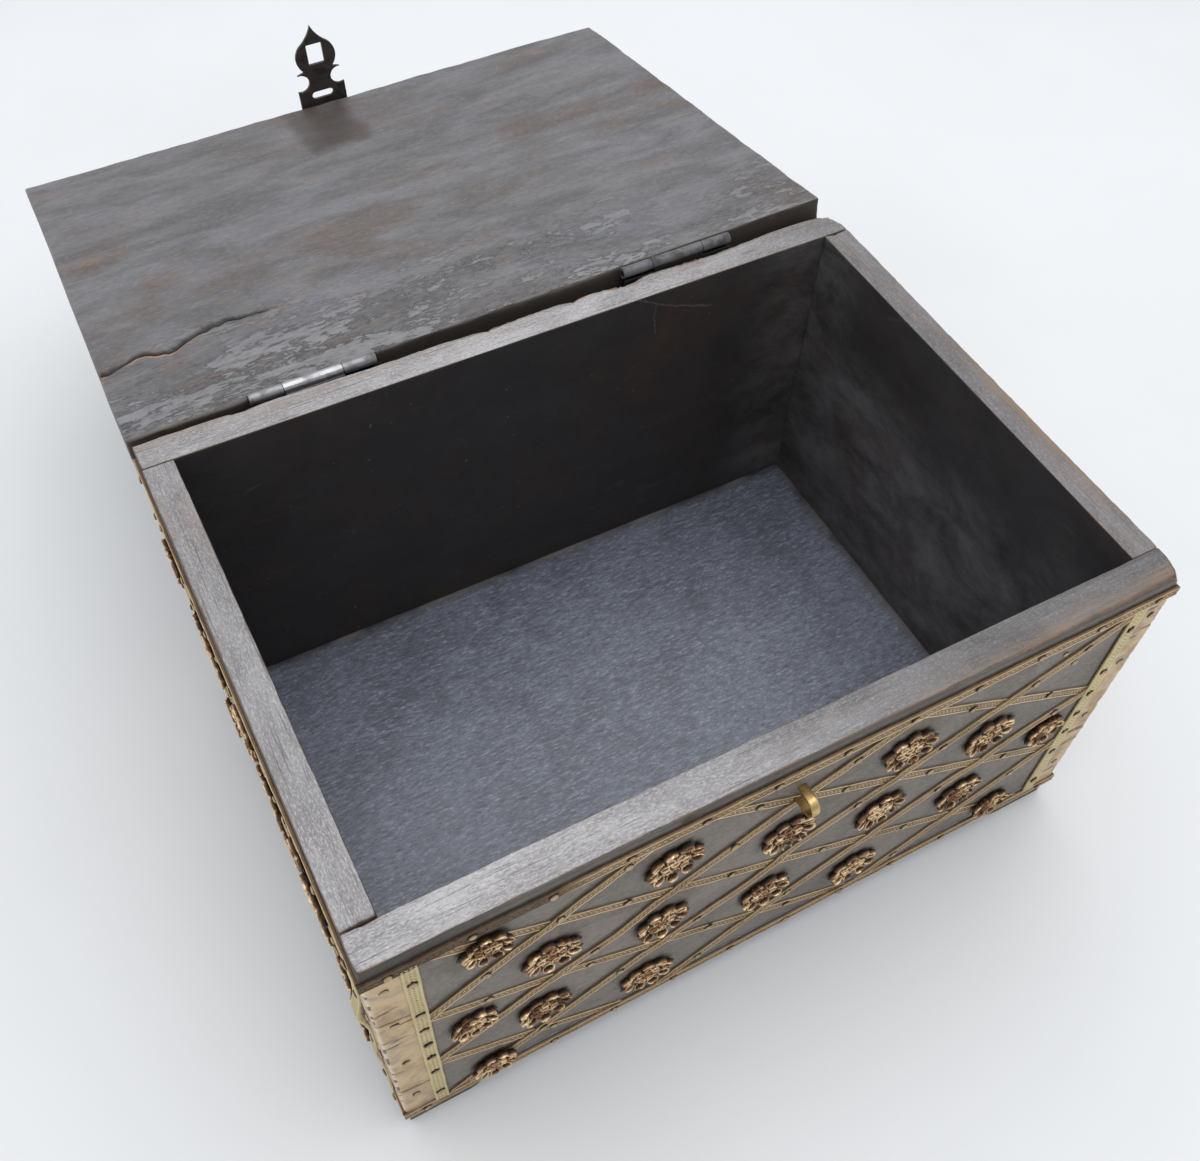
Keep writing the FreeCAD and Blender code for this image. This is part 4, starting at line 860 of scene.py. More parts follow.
def lid_wood(wood):
    """The lid: mottled dark grey with patches of painted blue-grey sheen, brown and orange stains,
    pale flaked patches by the hinges.
    """
    material, tree, shader = new_material("lid_wood")
    spot = object_place(tree)
    parts = use_group(tree, "old_wood", Vector=spot, Fibre=(60, 420, 420))
    mottle = drawn(tree, spot, (18, 62, 62), 6.0, 0.64, 0.5, turn=(0, 0, 0.1))
    colour = laid(tree, shaded(wood.lid, 0.66), shaded(wood.lid, 1.2), mottle, 0.34, 0.66)
    broad = drawn(tree, spot, (7, 15, 15), 7.0, 0.66, 0.7, turn=(0, 0, 0.12))
    colour = laid(tree, colour, shaded(wood.patch, 0.4), broad, 0.48, 0.66, 0, 0.65)
    blooms = drawn(tree, spot, (20, 44, 44), 7.0, 0.72, 0.6, turn=(0, 0, 0.2))
    patched = times(tree, stepped(tree, blooms, 0.55, 0.65), attribute(tree, "brown"))
    colour = mixed(tree, patched, colour, shaded(wood.patch, 0.85))
    # Broad pale blue-grey patches: painted sheen.
    lift = drawn(tree, spot, (12, 24, 24), 6.0, 0.7, 0.4, turn=(0, 0, -0.1))
    sheen_colour = [shaded(wood.lid, 1.5)[k] * (0.95, 1, 1.1)[k] for k in range(3)]
    colour = laid(tree, colour, sheen_colour, lift, 0.48, 0.68, 0, 0.45)
    colour = laid(tree, colour, shaded(wood.lid, 0.45), parts["Fibres"], 0.5, 0.7, 0, 0.3)
    flecks = drawn(tree, spot, (300, 900, 900), 4.0, 0.7, turn=(0, 0, 0.1))
    colour = laid(tree, colour, shaded(wood.lid, 1.8), flecks, 0.52, 0.68, 0, 0.42)
    colour = laid(tree, colour, shaded(wood.lid, 0.4), flecks, 0.46, 0.34, 0, 0.42)
    worn = attribute(tree, "worn")
    clusters = drawn(tree, spot, (18, 50, 50), 4.0, 0.6, 0.4, turn=(0, 0, -0.1))
    fine = drawn(tree, spot, (110, 300, 300), 6.0, 0.68, 0.6, turn=(0, 0, 0.08))
    flakes = plus(tree, times(tree, clusters, 0.55), times(tree, fine, 0.45))
    flakes = plus(tree, flakes, times(tree, minus(tree, worn, 0.8), 0.12))
    raised = times(tree, stepped(tree, flakes, 0.49, 0.525), worn)
    pale = laid(tree, shaded(wood.worn, 0.5), shaded(wood.worn, 1.05), fine, 0.35, 0.65)
    colour = mixed(tree, times(tree, raised, 0.66), colour, pale)
    within = minus(tree, 1.0, stepped(tree, flakes, 0.49, 0.505))
    brink = times(tree, stepped(tree, flakes, 0.455, 0.488), within)
    colour = mixed(tree, times(tree, times(tree, brink, worn), 0.55), colour, FLAKE_BRINK)
    colour = mixed(tree, attribute(tree, "raw"), colour, wood.raw)
    colour = mixed(tree, attribute(tree, "rust"), colour, STRAP_RUST)
    arris = times(tree, attribute(tree, "arris"), stepped(tree, parts["Stains"], 0.35, 0.6))
    colour = mixed(tree, arris, colour, LID_ARRIS)
    edge = laid(tree, LID_EDGE_DARK, LID_EDGE_BROWN, blooms, 0.58, 0.7)
    colour = mixed(tree, attribute(tree, "edge"), colour, edge)
    # Near black in the crack's gap: painted shade in the split.
    colour = mixed(tree, attribute(tree, "crack"), colour, CRACK_BLACK)
    rough = plus(tree, 0.4, times(tree, parts["Stains"], 0.22))
    height = plus(tree, times(tree, parts["Fibres"], 0.25), times(tree, mottle, 0.5))
    height = plus(tree, height, times(tree, raised, plus(tree, 0.7, fine)))
    finish_material(tree, shader, colour, rough, height, 0.4 * MM)
    return material


def floor_wood(wood):
    """The floor of the box: dark blue-grey satin paint, finely crackled and brushed."""
    material, tree, shader = new_material("floor_wood")
    spot = object_place(tree)
    parts = use_group(tree, "old_wood", Vector=spot, Fibre=(40, 120, 120))
    place = mapped(tree, spot, (330, 620, 300), (0, 0, 0.5))
    crackle = add_node(tree, "ShaderNodeTexVoronoi", {"feature": "DISTANCE_TO_EDGE"}, Vector=place, Scale=1.0)
    cracks = stepped(tree, crackle.outputs["Distance"], 0.0, 0.3)
    hatch = drawn(tree, spot, (210, 780, 400), 6.0, 0.75, turn=(0, 0, -0.65))
    stained = stepped(tree, parts["Stains"], 0.3, 0.7)
    colour = mixed(tree, stained, shaded(wood.floor, 0.75), shaded(wood.floor, 1.2))
    colour = laid(tree, colour, shaded(wood.floor, 2.2), hatch, 0.5, 0.64, 0, 0.75)
    colour = laid(tree, colour, shaded(wood.floor, 0.32), hatch, 0.48, 0.35, 0, 0.75)
    colour = mixed(tree, times(tree, minus(tree, 1.0, cracks), 0.35), colour, shaded(wood.floor, 0.5))
    # Darker along the walls' feet: dirt and painted shade in the corners.
    colour = mixed(tree, attribute(tree, "grime"), colour, FLOOR_GRIME_AND_SHADE)
    colour = mixed(tree, attribute(tree, "dust"), colour, FLOOR_DUST)
    rough = plus(tree, 0.3, times(tree, parts["Stains"], 0.2))
    height = plus(tree, times(tree, cracks, 0.6), times(tree, hatch, 0.9))
    finish_material(tree, shader, colour, rough, height, 0.14 * MM)
    shader.inputs["Coat Weight"].default_value = 0.35
    shader.inputs["Coat Roughness"].default_value = 0.35
    return material


def foot_wood(wood):
    """The feet: the walls' wood, darker and dusty, with no paint left on it."""
    material, tree, shader = new_material("foot_wood")
    parts = use_group(
        tree, "old_wood", Vector=object_place(tree), Fibre=(30, 200, 200), Scratch=(300, 300, 300)
    )
    colour = laid(tree, FOOT_DARK, FOOT_BROWN, parts["Fibres"], 0.3, 0.7)
    colour = mixed(tree, times(tree, parts["Scratches"], 0.4), colour, wood.bare)
    rough = plus(tree, 0.5, times(tree, parts["Fine"], 0.25))
    finish_material(tree, shader, colour, rough, parts["Fibres"], 0.4 * MM)
    return material


def old_brass(
    name, ridge, flank, blotch, rough=0.36, dull=0.5, recess=(0.022, 0.012, 0.007), crest=0.42,
    depth=0.06 * MM
):
    """Sheet brass: bright where it is rubbed, brown on its flanks and near black, from dirt and painted
    shade, in its recesses.
    """
    material, tree, shader = new_material(name)
    relief = attribute(tree, "relief")
    parts = use_group(tree, "old_metal", Vector=object_place(tree), Relief=relief, Blotch=blotch)
    tarnish = times(tree, parts["Tarnish"], dull)
    bright = mixed(tree, tarnish, ridge, [0.5 * (a + b) for a, b in zip(ridge, flank)])
    uneven = plus(tree, relief, times(tree, minus(tree, parts["Height"], 0.5), 0.5))
    colour = mixed(tree, tarnish, flank, shaded(flank, 0.55))
    # Recess colour where the relief is low: dirt in the hollows, painted shade on skirts, round tacks and in
    # the rosettes' holes.
    colour = laid(tree, recess, colour, uneven, 0.02, 0.38)
    colour = laid(tree, colour, bright, uneven, crest, crest + 0.42)
    roughness = plus(tree, rough, times(tree, tarnish, 0.3))
    roughness = plus(tree, roughness, times(tree, minus(tree, 1.0, relief), 0.2))
    metallic = stepped(tree, uneven, 0.0, 0.7, 0.3, 0.95)
    finish_material(tree, shader, colour, roughness, parts["Height"], depth, metallic)
    return material


def plate_brass(brass):
    """The corner plates: pale tan sheet with lavender-grey blotches, and painted shade darkening
    the creases, the dents and the rims of the tacks.
    """
    material, tree, shader = new_material("plate_brass")
    spot = object_place(tree)
    parts = use_group(tree, "old_metal", Vector=spot, Relief=attribute(tree, "relief"), Blotch=75.0)
    greyed = stepped(tree, noisy(tree, spot, 95.0, 5.0, 0.65, 0.6), 0.45, 0.68, 0, 0.82)
    colour = mixed(tree, greyed, brass.plate, PLATE_GREY)
    colour = mixed(tree, times(tree, parts["Tarnish"], 0.7), colour, PLATE_BROWN)
    # Where the relief is low, in creases, dents and round the tacks: painted shade.
    colour = mixed(tree, parts["Clean"], PLATE_CREASE_SHADE, colour)
    colour = mixed(tree, attribute(tree, "arris"), colour, PLATE_ARRIS)
    rough = plus(tree, 0.42, times(tree, parts["Tarnish"], 0.18))
    metallic = plus(tree, 0.5, times(tree, parts["Clean"], 0.25))
    finish_material(tree, shader, colour, rough, parts["Height"], 0.08 * MM, metallic)
    return material


def old_iron(name, bare, dark, rust, rough, shine=0.85, relief=False):
    """Iron or steel: bare where rubbed, dark elsewhere, with blooms of rust."""
    material, tree, shader = new_material(name)
    spot = object_place(tree)
    rubbed = attribute(tree, "relief") if relief else 0.6
    parts = use_group(tree, "old_metal", Vector=spot, Relief=rubbed, Blotch=130.0)
    colour = mixed(tree, parts["Tarnish"], bare, dark)
    colour = mixed(tree, parts["Clean"], shaded(dark, 0.25), colour)
    bloom = stepped(tree, noisy(tree, spot, 240.0, 5.0, 0.7, 0.5), 0.56, 0.68, 0, rust)
    colour = mixed(tree, bloom, colour, RUST)
    roughness = plus(tree, rough, times(tree, plus(tree, parts["Tarnish"], bloom), 0.2))
    metallic = minus(tree, shine, times(tree, bloom, 0.6))
    finish_material(tree, shader, colour, roughness, parts["Height"], 0.12 * MM, metallic)
    return material


def chest_wood():
    """The wood's property group."""
    return bpy.context.scene.chest_wood


def chest_brass():
    """The brass's property group."""
    return bpy.context.scene.chest_brass


class ChestWood(bpy.types.PropertyGroup):
    """Colours and wear of the boards."""

    outside: FloatVectorProperty(
        name="Outside", description="Grey of the outer faces", default=(0.192, 0.166, 0.138), subtype="COLOR"
    )
    inside: FloatVectorProperty(
        name="Inside", description="Black of the inner faces", default=(0.026, 0.022, 0.022), subtype="COLOR"
    )
    rim: FloatVectorProperty(
        name="Rim", description="Worn tops of the walls", default=(0.345, 0.335, 0.345), subtype="COLOR"
    )
    bare: FloatVectorProperty(
        name="Bare wood", description="Brown wood under the wear", default=(0.25, 0.165, 0.105),
        subtype="COLOR"
    )
    lid: FloatVectorProperty(
        name="Lid", description="Grey of the lid's underside", default=(0.142, 0.138, 0.145), subtype="COLOR"
    )
    patch: FloatVectorProperty(
        name="Lid patches", description="Brown stains of the lid", default=(0.25, 0.155, 0.1), subtype="COLOR"
    )
    worn: FloatVectorProperty(
        name="Worn ridges", description="Pale ridges near the hinges", default=(0.31, 0.31, 0.325),
        subtype="COLOR"
    )
    raw: FloatVectorProperty(
        name="Raw wood", description="Fresh wood in the lid's crack", default=(0.42, 0.25, 0.13),
        subtype="COLOR"
    )
    floor: FloatVectorProperty(
        name="Floor", description="Paint on the floor of the box", default=(0.172, 0.188, 0.238),
        subtype="COLOR"
    )
    arris: FloatProperty(
        name="Arris", description="Round worn along the boards' edges", default=0.7 * MM, unit="LENGTH"
    )
    lid_arris: FloatProperty(
        name="Lid arris", description="Round worn along the lid's edges", default=1.2 * MM, unit="LENGTH"
    )
    fine_step: FloatProperty(
        name="Fine step", description="Grid step of the front board", default=1.35 * MM, unit="LENGTH"
    )
    side_step: FloatProperty(
        name="Side step", description="Grid step of the side boards", default=1.5 * MM, unit="LENGTH"
    )
    back_step: FloatProperty(
        name="Back step", description="Grid step of the back board", default=1.75 * MM, unit="LENGTH"
    )
    step: FloatProperty(
        name="Step", description="Grid step of the other boards", default=2.4 * MM, unit="LENGTH"
    )
    crack_depth: FloatProperty(
        name="Crack depth", description="Depth of the lid's crack", default=2.2 * MM, unit="LENGTH"
    )
    crack_step: FloatProperty(
        name="Crack step", description="How far the lid has sunk beside its crack", default=0.9 * MM,
        unit="LENGTH"
    )


class ChestBrass(bpy.types.PropertyGroup):
    """Sizes and colours of the brass."""

    ring_pitch: FloatProperty(
        name="Ring pitch", description="From one stamped ring to the next", default=2.4 * MM, unit="LENGTH"
    )
    relief: FloatProperty(
        name="Relief", description="Height of the stamping on the strips", default=0.26 * MM, unit="LENGTH"
    )
    petals: IntProperty(name="Petals", description="Petals of a rosette", default=9)
    loops: IntProperty(name="Loops", description="Loops round a rosette's eye", default=7)
    strip: FloatVectorProperty(
        name="Strips", description="Rubbed strips", default=(0.76, 0.58, 0.345), subtype="COLOR"
    )
    flank: FloatVectorProperty(
        name="Strip flanks", description="Brown of the strips' hollows", default=(0.2, 0.125, 0.065),
        subtype="COLOR"
    )
    edge: FloatVectorProperty(
        name="Upright strips", description="Greener brass of the uprights", default=(0.68, 0.57, 0.31),
        subtype="COLOR"
    )
    copper: FloatVectorProperty(
        name="Rosette flanks", description="Copper under the rosettes' gilt", default=(0.28, 0.13, 0.055),
        subtype="COLOR"
    )
    plate: FloatVectorProperty(
        name="Plates", description="Corner plates", default=(0.64, 0.47, 0.27), subtype="COLOR"
    )
    rosette: FloatVectorProperty(
        name="Rosettes", description="Ridges of the rosettes", default=(0.95, 0.74, 0.46), subtype="COLOR"
    )
    # Recess colour: dirt, and painted shade in the rosettes' holes, on the brass skirts and round the tacks.
    recess: FloatVectorProperty(
        name="Recess", description="Grime in the recesses", default=(0.012, 0.007, 0.005), subtype="COLOR"
    )


class ChestStage(bpy.types.PropertyGroup):
    """The camera, the light and the floor."""

    eye: FloatVectorProperty(
        name="Camera", description="Place of the camera", default=(-0.1819, -0.2778, 0.5910), subtype="XYZ"
    )
    azimuth: FloatProperty(
        name="Azimuth", description="Turn of the view from +Y towards +X", default=math.radians(30.24),
        unit="ROTATION"
    )
    down: FloatProperty(
        name="Down", description="How far the view looks down", default=math.radians(53.85), unit="ROTATION"
    )
    roll: FloatProperty(
        name="Roll", description="Roll of the camera", default=math.radians(2.785), unit="ROTATION"
    )
    lens: FloatProperty(name="Lens", description="Focal length in millimetres", default=38.53)
    sky: FloatVectorProperty(
        name="Sky", description="Pale surroundings", default=(0.93, 0.95, 0.98), subtype="COLOR"
    )
    sky_light: FloatProperty(name="Sky light", description="Strength of the even light", default=0.78)
    lamp: FloatProperty(
        name="Soft lamp", description="Power of the large lamp", default=13.0, subtype="POWER"
    )
    ground: FloatVectorProperty(
        name="Ground", description="Colour of the floor", default=(0.86, 0.873, 0.885), subtype="COLOR"
    )


def chip(spot, reach, depth):
    """A chip worn off a board: its place, and in millimetres its reach along each axis and its depth."""
    return np.array(spot), np.array(reach) * MM, depth * MM


CHIPS = {
    "front": (
        chip((-0.166, -0.110, RIM), (7, 2, 4), 1.1),
        chip((-0.175, -0.125, RIM), (3, 3, 5), 1.5),
        chip((0.175, -0.125, RIM), (6, 6, 6), 3.5),
        chip((0.150, -0.125, RIM), (45, 4, 4), 1.5),
        chip((0.158, -0.125, RIM), (4, 4, 4), 1.8),
        chip((0.131, -0.125, RIM), (6, 3, 4), 1.1),
        chip((0.094, -0.125, RIM), (4, 3, 3), 0.9),
    ),
    "back": (
        chip((0.0, 0.125, RIM), (70, 4, 4), 1.9),
        chip((0.057, 0.125, RIM), (9, 6, 5), 5.0),
        chip((0.030, 0.125, RIM), (5, 5, 4), 2.2),
        chip((-0.012, 0.125, RIM), (6, 5, 4), 2.4),
        chip((0.104, 0.125, RIM), (22, 5, 4), 3.2),
        chip((-0.128, 0.125, RIM), (6, 4, 4), 2.0),
        chip((0.175, 0.125, RIM), (9, 9, 9), 6.0),
        chip((-0.175, 0.1105, RIM), (16, 3, 4), 0.8),
    ),
    "left": (
        chip((-0.165, -0.110, RIM), (8, 2, 5), 1.4),
        chip((-0.175, 0.02, RIM), (3, 70, 3), 0.6),
    ),
    "right": (
        chip((0.168, 0.1105, RIM), (5, 5, 5), 2.0),
        chip((0.175, 0.0, RIM), (3, 95, 3), 0.9),
    ),
}


# How far the worn faces between the shut lid and the rim may come out of the CAD faces.
LID_CLEAR = 0.08 * MM


def face_grime(face, points, out):
    """Dark dirt beside the brass, and painted shadow on the upper-left side of each line and round each
    rosette: bells on the distance to each line and rosette.
    """
    u, z, _ = face_uv(face, points)
    flat = np.stack((u, z), -1)
    _, _, outward = FACES[face]
    half, top, bottom = lattice_field(face)
    share = np.zeros(len(points))
    edge = half + LATTICE_MARGIN
    lines = lattice_lines(face, FALLING_SHARES) + lattice_lines(face, RISING_SHARES)
    lines += [np.array(((-edge - 18 * MM, z0), (edge + 18 * MM, z0))) for z0 in (top, bottom)]
    uprights = (-edge - 3.2 * MM, edge + 3.2 * MM)
    lines += [np.array(((u0, bottom), (u0, top))) for u0 in uprights]
    # Places moved by (1.3, -1.7) mm, so that the second bell lies on each line's upper-left side: a painted
    # shadow.
    shadow_side_places = flat + np.array((1.3, -1.7)) * MM
    for line in lines:
        for places, dark, width in ((flat, 0.7, 0.9 * MM), (shadow_side_places, 0.95, 0.8 * MM)):
            beside = np.maximum(line_distance(places, line) - 2.5 * MM, 0)
            share = np.maximum(share, dark * bump(beside, 0, width))
    # A dark ring mostly under each rosette's rim: painted shadow.
    for low, high in node_solids(face + "_rosettes"):
        middle = np.stack(face_uv(face, (low + high) / 2)[:2])
        radius = (high[2] - low[2]) / 2
        beside = np.maximum(np.linalg.norm(flat - middle, axis=-1) - radius * 0.86, 0)
        share = np.maximum(share, 0.9 * bump(beside, 0, 1.2 * MM))
    share *= 0.75 + 0.25 * noise(points, 3 * MM)
    return np.clip(share, 0, 1) * smooth(out @ outward, 0.5, 0.9)


def rim_wear_and_sheen(name, points, middle, inward):
    """How pale (rubbed, and painted sheen) and how brown each place of a wall's top is: smooth steps
    and bells along it.
    """
    x, y, _ = points.T
    outer = smooth((middle - points) @ inward, -1.5 * MM, 4 * MM)
    if name == "front":
        return 1 - 0.98 * smooth(x, -0.13, 0.08), 0.1 + 0.75 * outer * smooth(x, 0.0, 0.13)
    if name == "back":
        return 0.85 - 0.6 * smooth(x, 0.06, 0.16) - 0.25 * smooth(-x, 0.02, 0.14), 0.12 + 0.3 * outer
    if name == "left":
        return 0.46 + 0.3 * smooth(-y, 0.02, 0.1), 0.1 + 0.25 * bump(y, 0.075, 0.02)
    return 0.12 + 0 * x, 0.2 + 0.75 * outer * bump(y, -0.035, 0.075)


def build_wall(name, low, high, step, inward):
    """One wall: a worn block whose points know if they are on the rim, inside, or by the brass."""
    wood = chest_wood()
    worn, faces, out, arris, points = worn_block(low, high, step, wood.arris, CHIPS.get(name, ()))
    worn[:, 2] = np.minimum(worn[:, 2], high[2] + LID_CLEAR)
    pile = Pile("top", "inside", "arris", "grime", "band", "dust", "brown", "pale", "sideways")
    top = smooth(out[:, 2], 0.6, 0.95) * (points[:, 2] > RIM - 12 * MM)
    inside = smooth(out @ inward, 0.5, 0.9)
    # Dirt and painted shadow beside the brass.
    grime = face_grime(name, points, out) if name in FACES else 0.0
    near_rim = smooth(points[:, 2], RIM - 1.5 * MM, RIM)
    band = bump(points[:, 2], RIM - 2.0 * MM, 1.1 * MM) * (1 - top)
    band = np.maximum(band, 0.4 * smooth(points[:, 2], RIM - 9 * MM, RIM - 7 * MM) * (1 - top))
    band = np.maximum(
        band, smooth(points[:, 2], RIM - 9 * MM, RIM - 7 * MM) * (1 - top) * smooth(-points[:, 0], 0.1, 0.15)
    )
    dusty = bump(np.hypot(points[:, 0] - RIGHT_LOW[0], points[:, 1] - BACK_LOW[1]), 0, 34 * MM)
    brushed = 0.15 + 0.8 * smooth(RIM - points[:, 2] + 14 * MM * noise(points, 40 * MM), 30 * MM, 75 * MM)
    dusty = np.maximum(dusty, brushed if name == "right" else 0.1) * inside
    pale, brown = rim_wear_and_sheen(name, points, (low + high) / 2, inward)
    arris = arris * (0.4 + 0.6 * near_rim) * np.where(out @ inward > 0, 0.5, 1.0)
    sideways = float(name in ("left", "right"))
    pile.add(
        worn, faces, top=top, inside=inside, arris=arris, grime=grime, band=band, dust=dusty, brown=brown,
        pale=pale, sideways=sideways
    )
    pile.make(name + "_wall", bpy.data.materials["box_wood"], "box", [name + "_board"], "dark_wood", 60)


class CHEST_OT_walls(bpy.types.Operator):
    """Build the four worn walls"""

    bl_idname = "chest.walls"
    bl_label = "Walls"

    def execute(self, context):
        wood = chest_wood()
        box_wood(wood)
        build_wall("front", FRONT_LOW, FRONT_HIGH, wood.fine_step, Y)
        build_wall("back", BACK_LOW, BACK_HIGH, wood.back_step, -Y)
        build_wall("left", LEFT_LOW, LEFT_HIGH, wood.side_step, X)
        build_wall("right", RIGHT_LOW, RIGHT_HIGH, wood.side_step, -X)
        return {"FINISHED"}


class CHEST_OT_floor(bpy.types.Operator):
    """Build the painted floor of the box and dress its feet and hidden nails"""

    bl_idname = "chest.floor"
    bl_label = "Floor and feet"

    def execute(self, context):
        wood = chest_wood()
        worn, faces, out, _, points = worn_block(FLOOR_LOW, FLOOR_HIGH, wood.step, wood.arris)
        inner_low = np.array((LEFT_HIGH[0], FRONT_HIGH[1]))
        inner_high = np.array((RIGHT_LOW[0], BACK_LOW[1]))
        edge = np.minimum(points[:, :2] - inner_low, inner_high - points[:, :2]).min(-1)
        # Darker where the floor meets the walls: dirt and painted shade in the corners.
        grime = 0.9 * bump(np.maximum(edge, 0), 0, 3.5 * MM) * (out[:, 2] > 0.5)
        far = np.minimum(inner_high[0] - points[:, 0], inner_high[1] - points[:, 1])
        dust = (
            0.55
            * bump(far, 1.0 * MM, 1.6 * MM)
            * (out[:, 2] > 0.5)
            * smooth(noise(points, 12 * MM), -0.8, 0.4)
        )
        pile = Pile("grime", "dust")
        pile.add(worn, faces, grime=grime * (1 - dust), dust=dust)
        pile.make("box_floor", floor_wood(wood), "box", ["bottom_board"], "floor_wood", 60)
        material = foot_wood(wood)
        for name in frame["nodes"]:
            if name.startswith("foot_front") or name.startswith("foot_back"):
                dress_node(name, material)
        iron = old_iron("nail_iron", (0.3, 0.28, 0.26), (0.1, 0.09, 0.085), 0.7, 0.5)
        for name in ("corner_nails", "bottom_nails", "foot_nails"):
            dress_node(name, iron)
        return {"FINISHED"}


def dress_node(name, material):
    """Give a CAD node that stays in view its own finish."""
    slots = frame["nodes"][name].material_slots
    for k in range(len(slots)):
        slots[k].link = "OBJECT"
        slots[k].material = material


# The lid's crack, from its left edge inwards, on the shut lid's underside: metres.
CRACK = np.array((
    (-0.1785, 0.0712), (-0.1702, 0.0704), (-0.1634, 0.0686), (-0.1590, 0.0658),
    (-0.1542, 0.0652), (-0.1504, 0.0684), (-0.1452, 0.0701), (-0.1406, 0.0680),
    (-0.1359, 0.0651), (-0.1293, 0.0633), (-0.1224, 0.0606), (-0.1178, 0.0594),
    (-0.1115, 0.0594), (-0.1066, 0.0605), (-0.0985, 0.0584), (-0.0925, 0.0559),
))
CRACK_END = 0.092


def crack_rows(low, high, step, arris):
    """Grid lines across the lid, close together about the crack's mean line."""
    middle = CRACK[:, 1].mean()
    near = MM * np.array((0.3, 0.7, 1.2, 1.9, 2.8, 4.0, 5.6))
    lines = side_lines(low, high, step, arris)
    far = lines[np.abs(lines - middle) > near[-1] + step / 2]
    return np.sort(np.concatenate((far, middle - near, (middle,), middle + near)))


class CHEST_OT_lid(bpy.types.Operator):
    """Build the lid with its crack, its worn edges and its stains"""

    bl_idname = "chest.lid"
    bl_label = "Lid"

    def execute(self, context):
        wood = chest_wood()
        shut = turned(node_points("lid_board"), OPEN.inverted())
        low, high = shut.min(0), shut.max(0)
        step, arris = wood.step, wood.lid_arris
        lines = [
            side_lines(low[0], high[0], 2.0 * MM, arris),
            crack_rows(low[1], high[1], step, arris),
            side_lines(low[2], high[2], step, arris),
        ]
        chips = (
            chip((-0.10, high[1], low[2]), (50, 4, 4), 1.2),
            chip((0.03, high[1], low[2]), (30, 4, 4), 1.6),
            chip((low[0], 0.068, low[2]), (4, 5, 4), 1.8),
            chip((low[0], -0.05, low[2]), (3, 60, 3), 0.8),
        )
        worn, faces, out, arris_share, points = worn_block(low, high, step, arris, chips, lines, 0.25 * MM)
        under = smooth(-out[:, 2], 0.5, 0.9)
        reach = smooth(-points[:, 0], CRACK_END - 4 * MM, CRACK_END + 26 * MM)
        line = np.interp(points[:, 0], CRACK[:, 0], CRACK[:, 1])
        line = line + 1.0 * MM * noise(points * (1, 0, 0), 3.2 * MM)
        bend = (line - CRACK[:, 1].mean()) * bump(points[:, 1], CRACK[:, 1].mean(), 26 * MM)
        worn[:, 1] += bend * reach * smooth(0.5 - np.abs(out[:, 1]), 0, 0.5)
        away = points[:, 1] - CRACK[:, 1].mean()
        uneven = 1 + 0.5 * noise(points * (1, 0, 0), 5 * MM)
        gap = bump(away, 0.2 * MM, 1.0 * MM * uneven) * smooth(-points[:, 0], CRACK_END, CRACK_END + 8 * MM)
        sunk = smooth(away, 0, 0.6 * MM) * bump(np.maximum(away, 0), 0, 16 * MM) * reach
        ragged = 0.35 * MM * noise(points, 3 * MM, (2, 1, 1)) * bump(away, 2 * MM, 5 * MM) * reach
        worn[:, 2] += under * (wood.crack_depth * gap + wood.crack_step * sunk + ragged)
        by_hinge = smooth(points[:, 1], 0.035, 0.095)
        ridges = noise(points, 4.2 * MM, (3.5, 1, 1)) + 0.5 * noise(points, 9 * MM, (3, 1, 1))
        worn[:, 2] -= 0.25 * MM * (ridges - 0.6) * by_hinge * under
        worn[:, 2] = np.maximum(worn[:, 2], low[2] - LID_CLEAR)
        raw = (
            bump(away, 2.0 * MM, 1.1 * MM)
            * reach
            * smooth(noise(points, 6 * MM, (2, 1, 1)), 0.0, 0.4)
            * smooth(-points[:, 0], 0.11, 0.14)
            * under
        )
        low_rust, high_rust = np.array((-0.03, low[1])), np.array((0.006, -0.072))
        flat = points[:, :2] + 3 * MM * noise(points, 8 * MM)[:, None]
        past_low = smooth(flat, low_rust - 4 * MM, low_rust + 4 * MM)
        past_high = smooth(flat, high_rust - 4 * MM, high_rust + 4 * MM)
        rust = (past_low * (1 - past_high)).prod(-1)
        pile = Pile("arris", "worn", "crack", "raw", "rust", "brown", "edge")
        left_patch = np.array((-0.125, -0.045))
        brown = 0.35 + 0.65 * np.exp(-((((points[:, :2] - left_patch) / (0.06, 0.045)) ** 2).sum(-1)))
        edge = smooth(out[:, 1], 0.4, 0.8)
        worn[:, 1] += 2.4 * MM * smooth(out[:, 1], 0.3, 0.8) * smooth(-points[:, 0], 0.1, 0.135)
        worn_share = (
            by_hinge
            * (0.75 + 0.25 * noise(points, 26 * MM, (3, 1, 1)))
            * (1 - 0.45 * smooth(points[:, 0], 0.05, 0.13))
        )
        pile.add(
            turned(worn, OPEN), faces, arris=arris_share, worn=worn_share * under, crack=gap * under, raw=raw,
            rust=0.7 * rust * under, brown=brown, edge=edge
        )
        pile.make("lid_slab", lid_wood(wood), "lid", ["lid_board"], "lid_wood", 60)
        return {"FINISHED"}


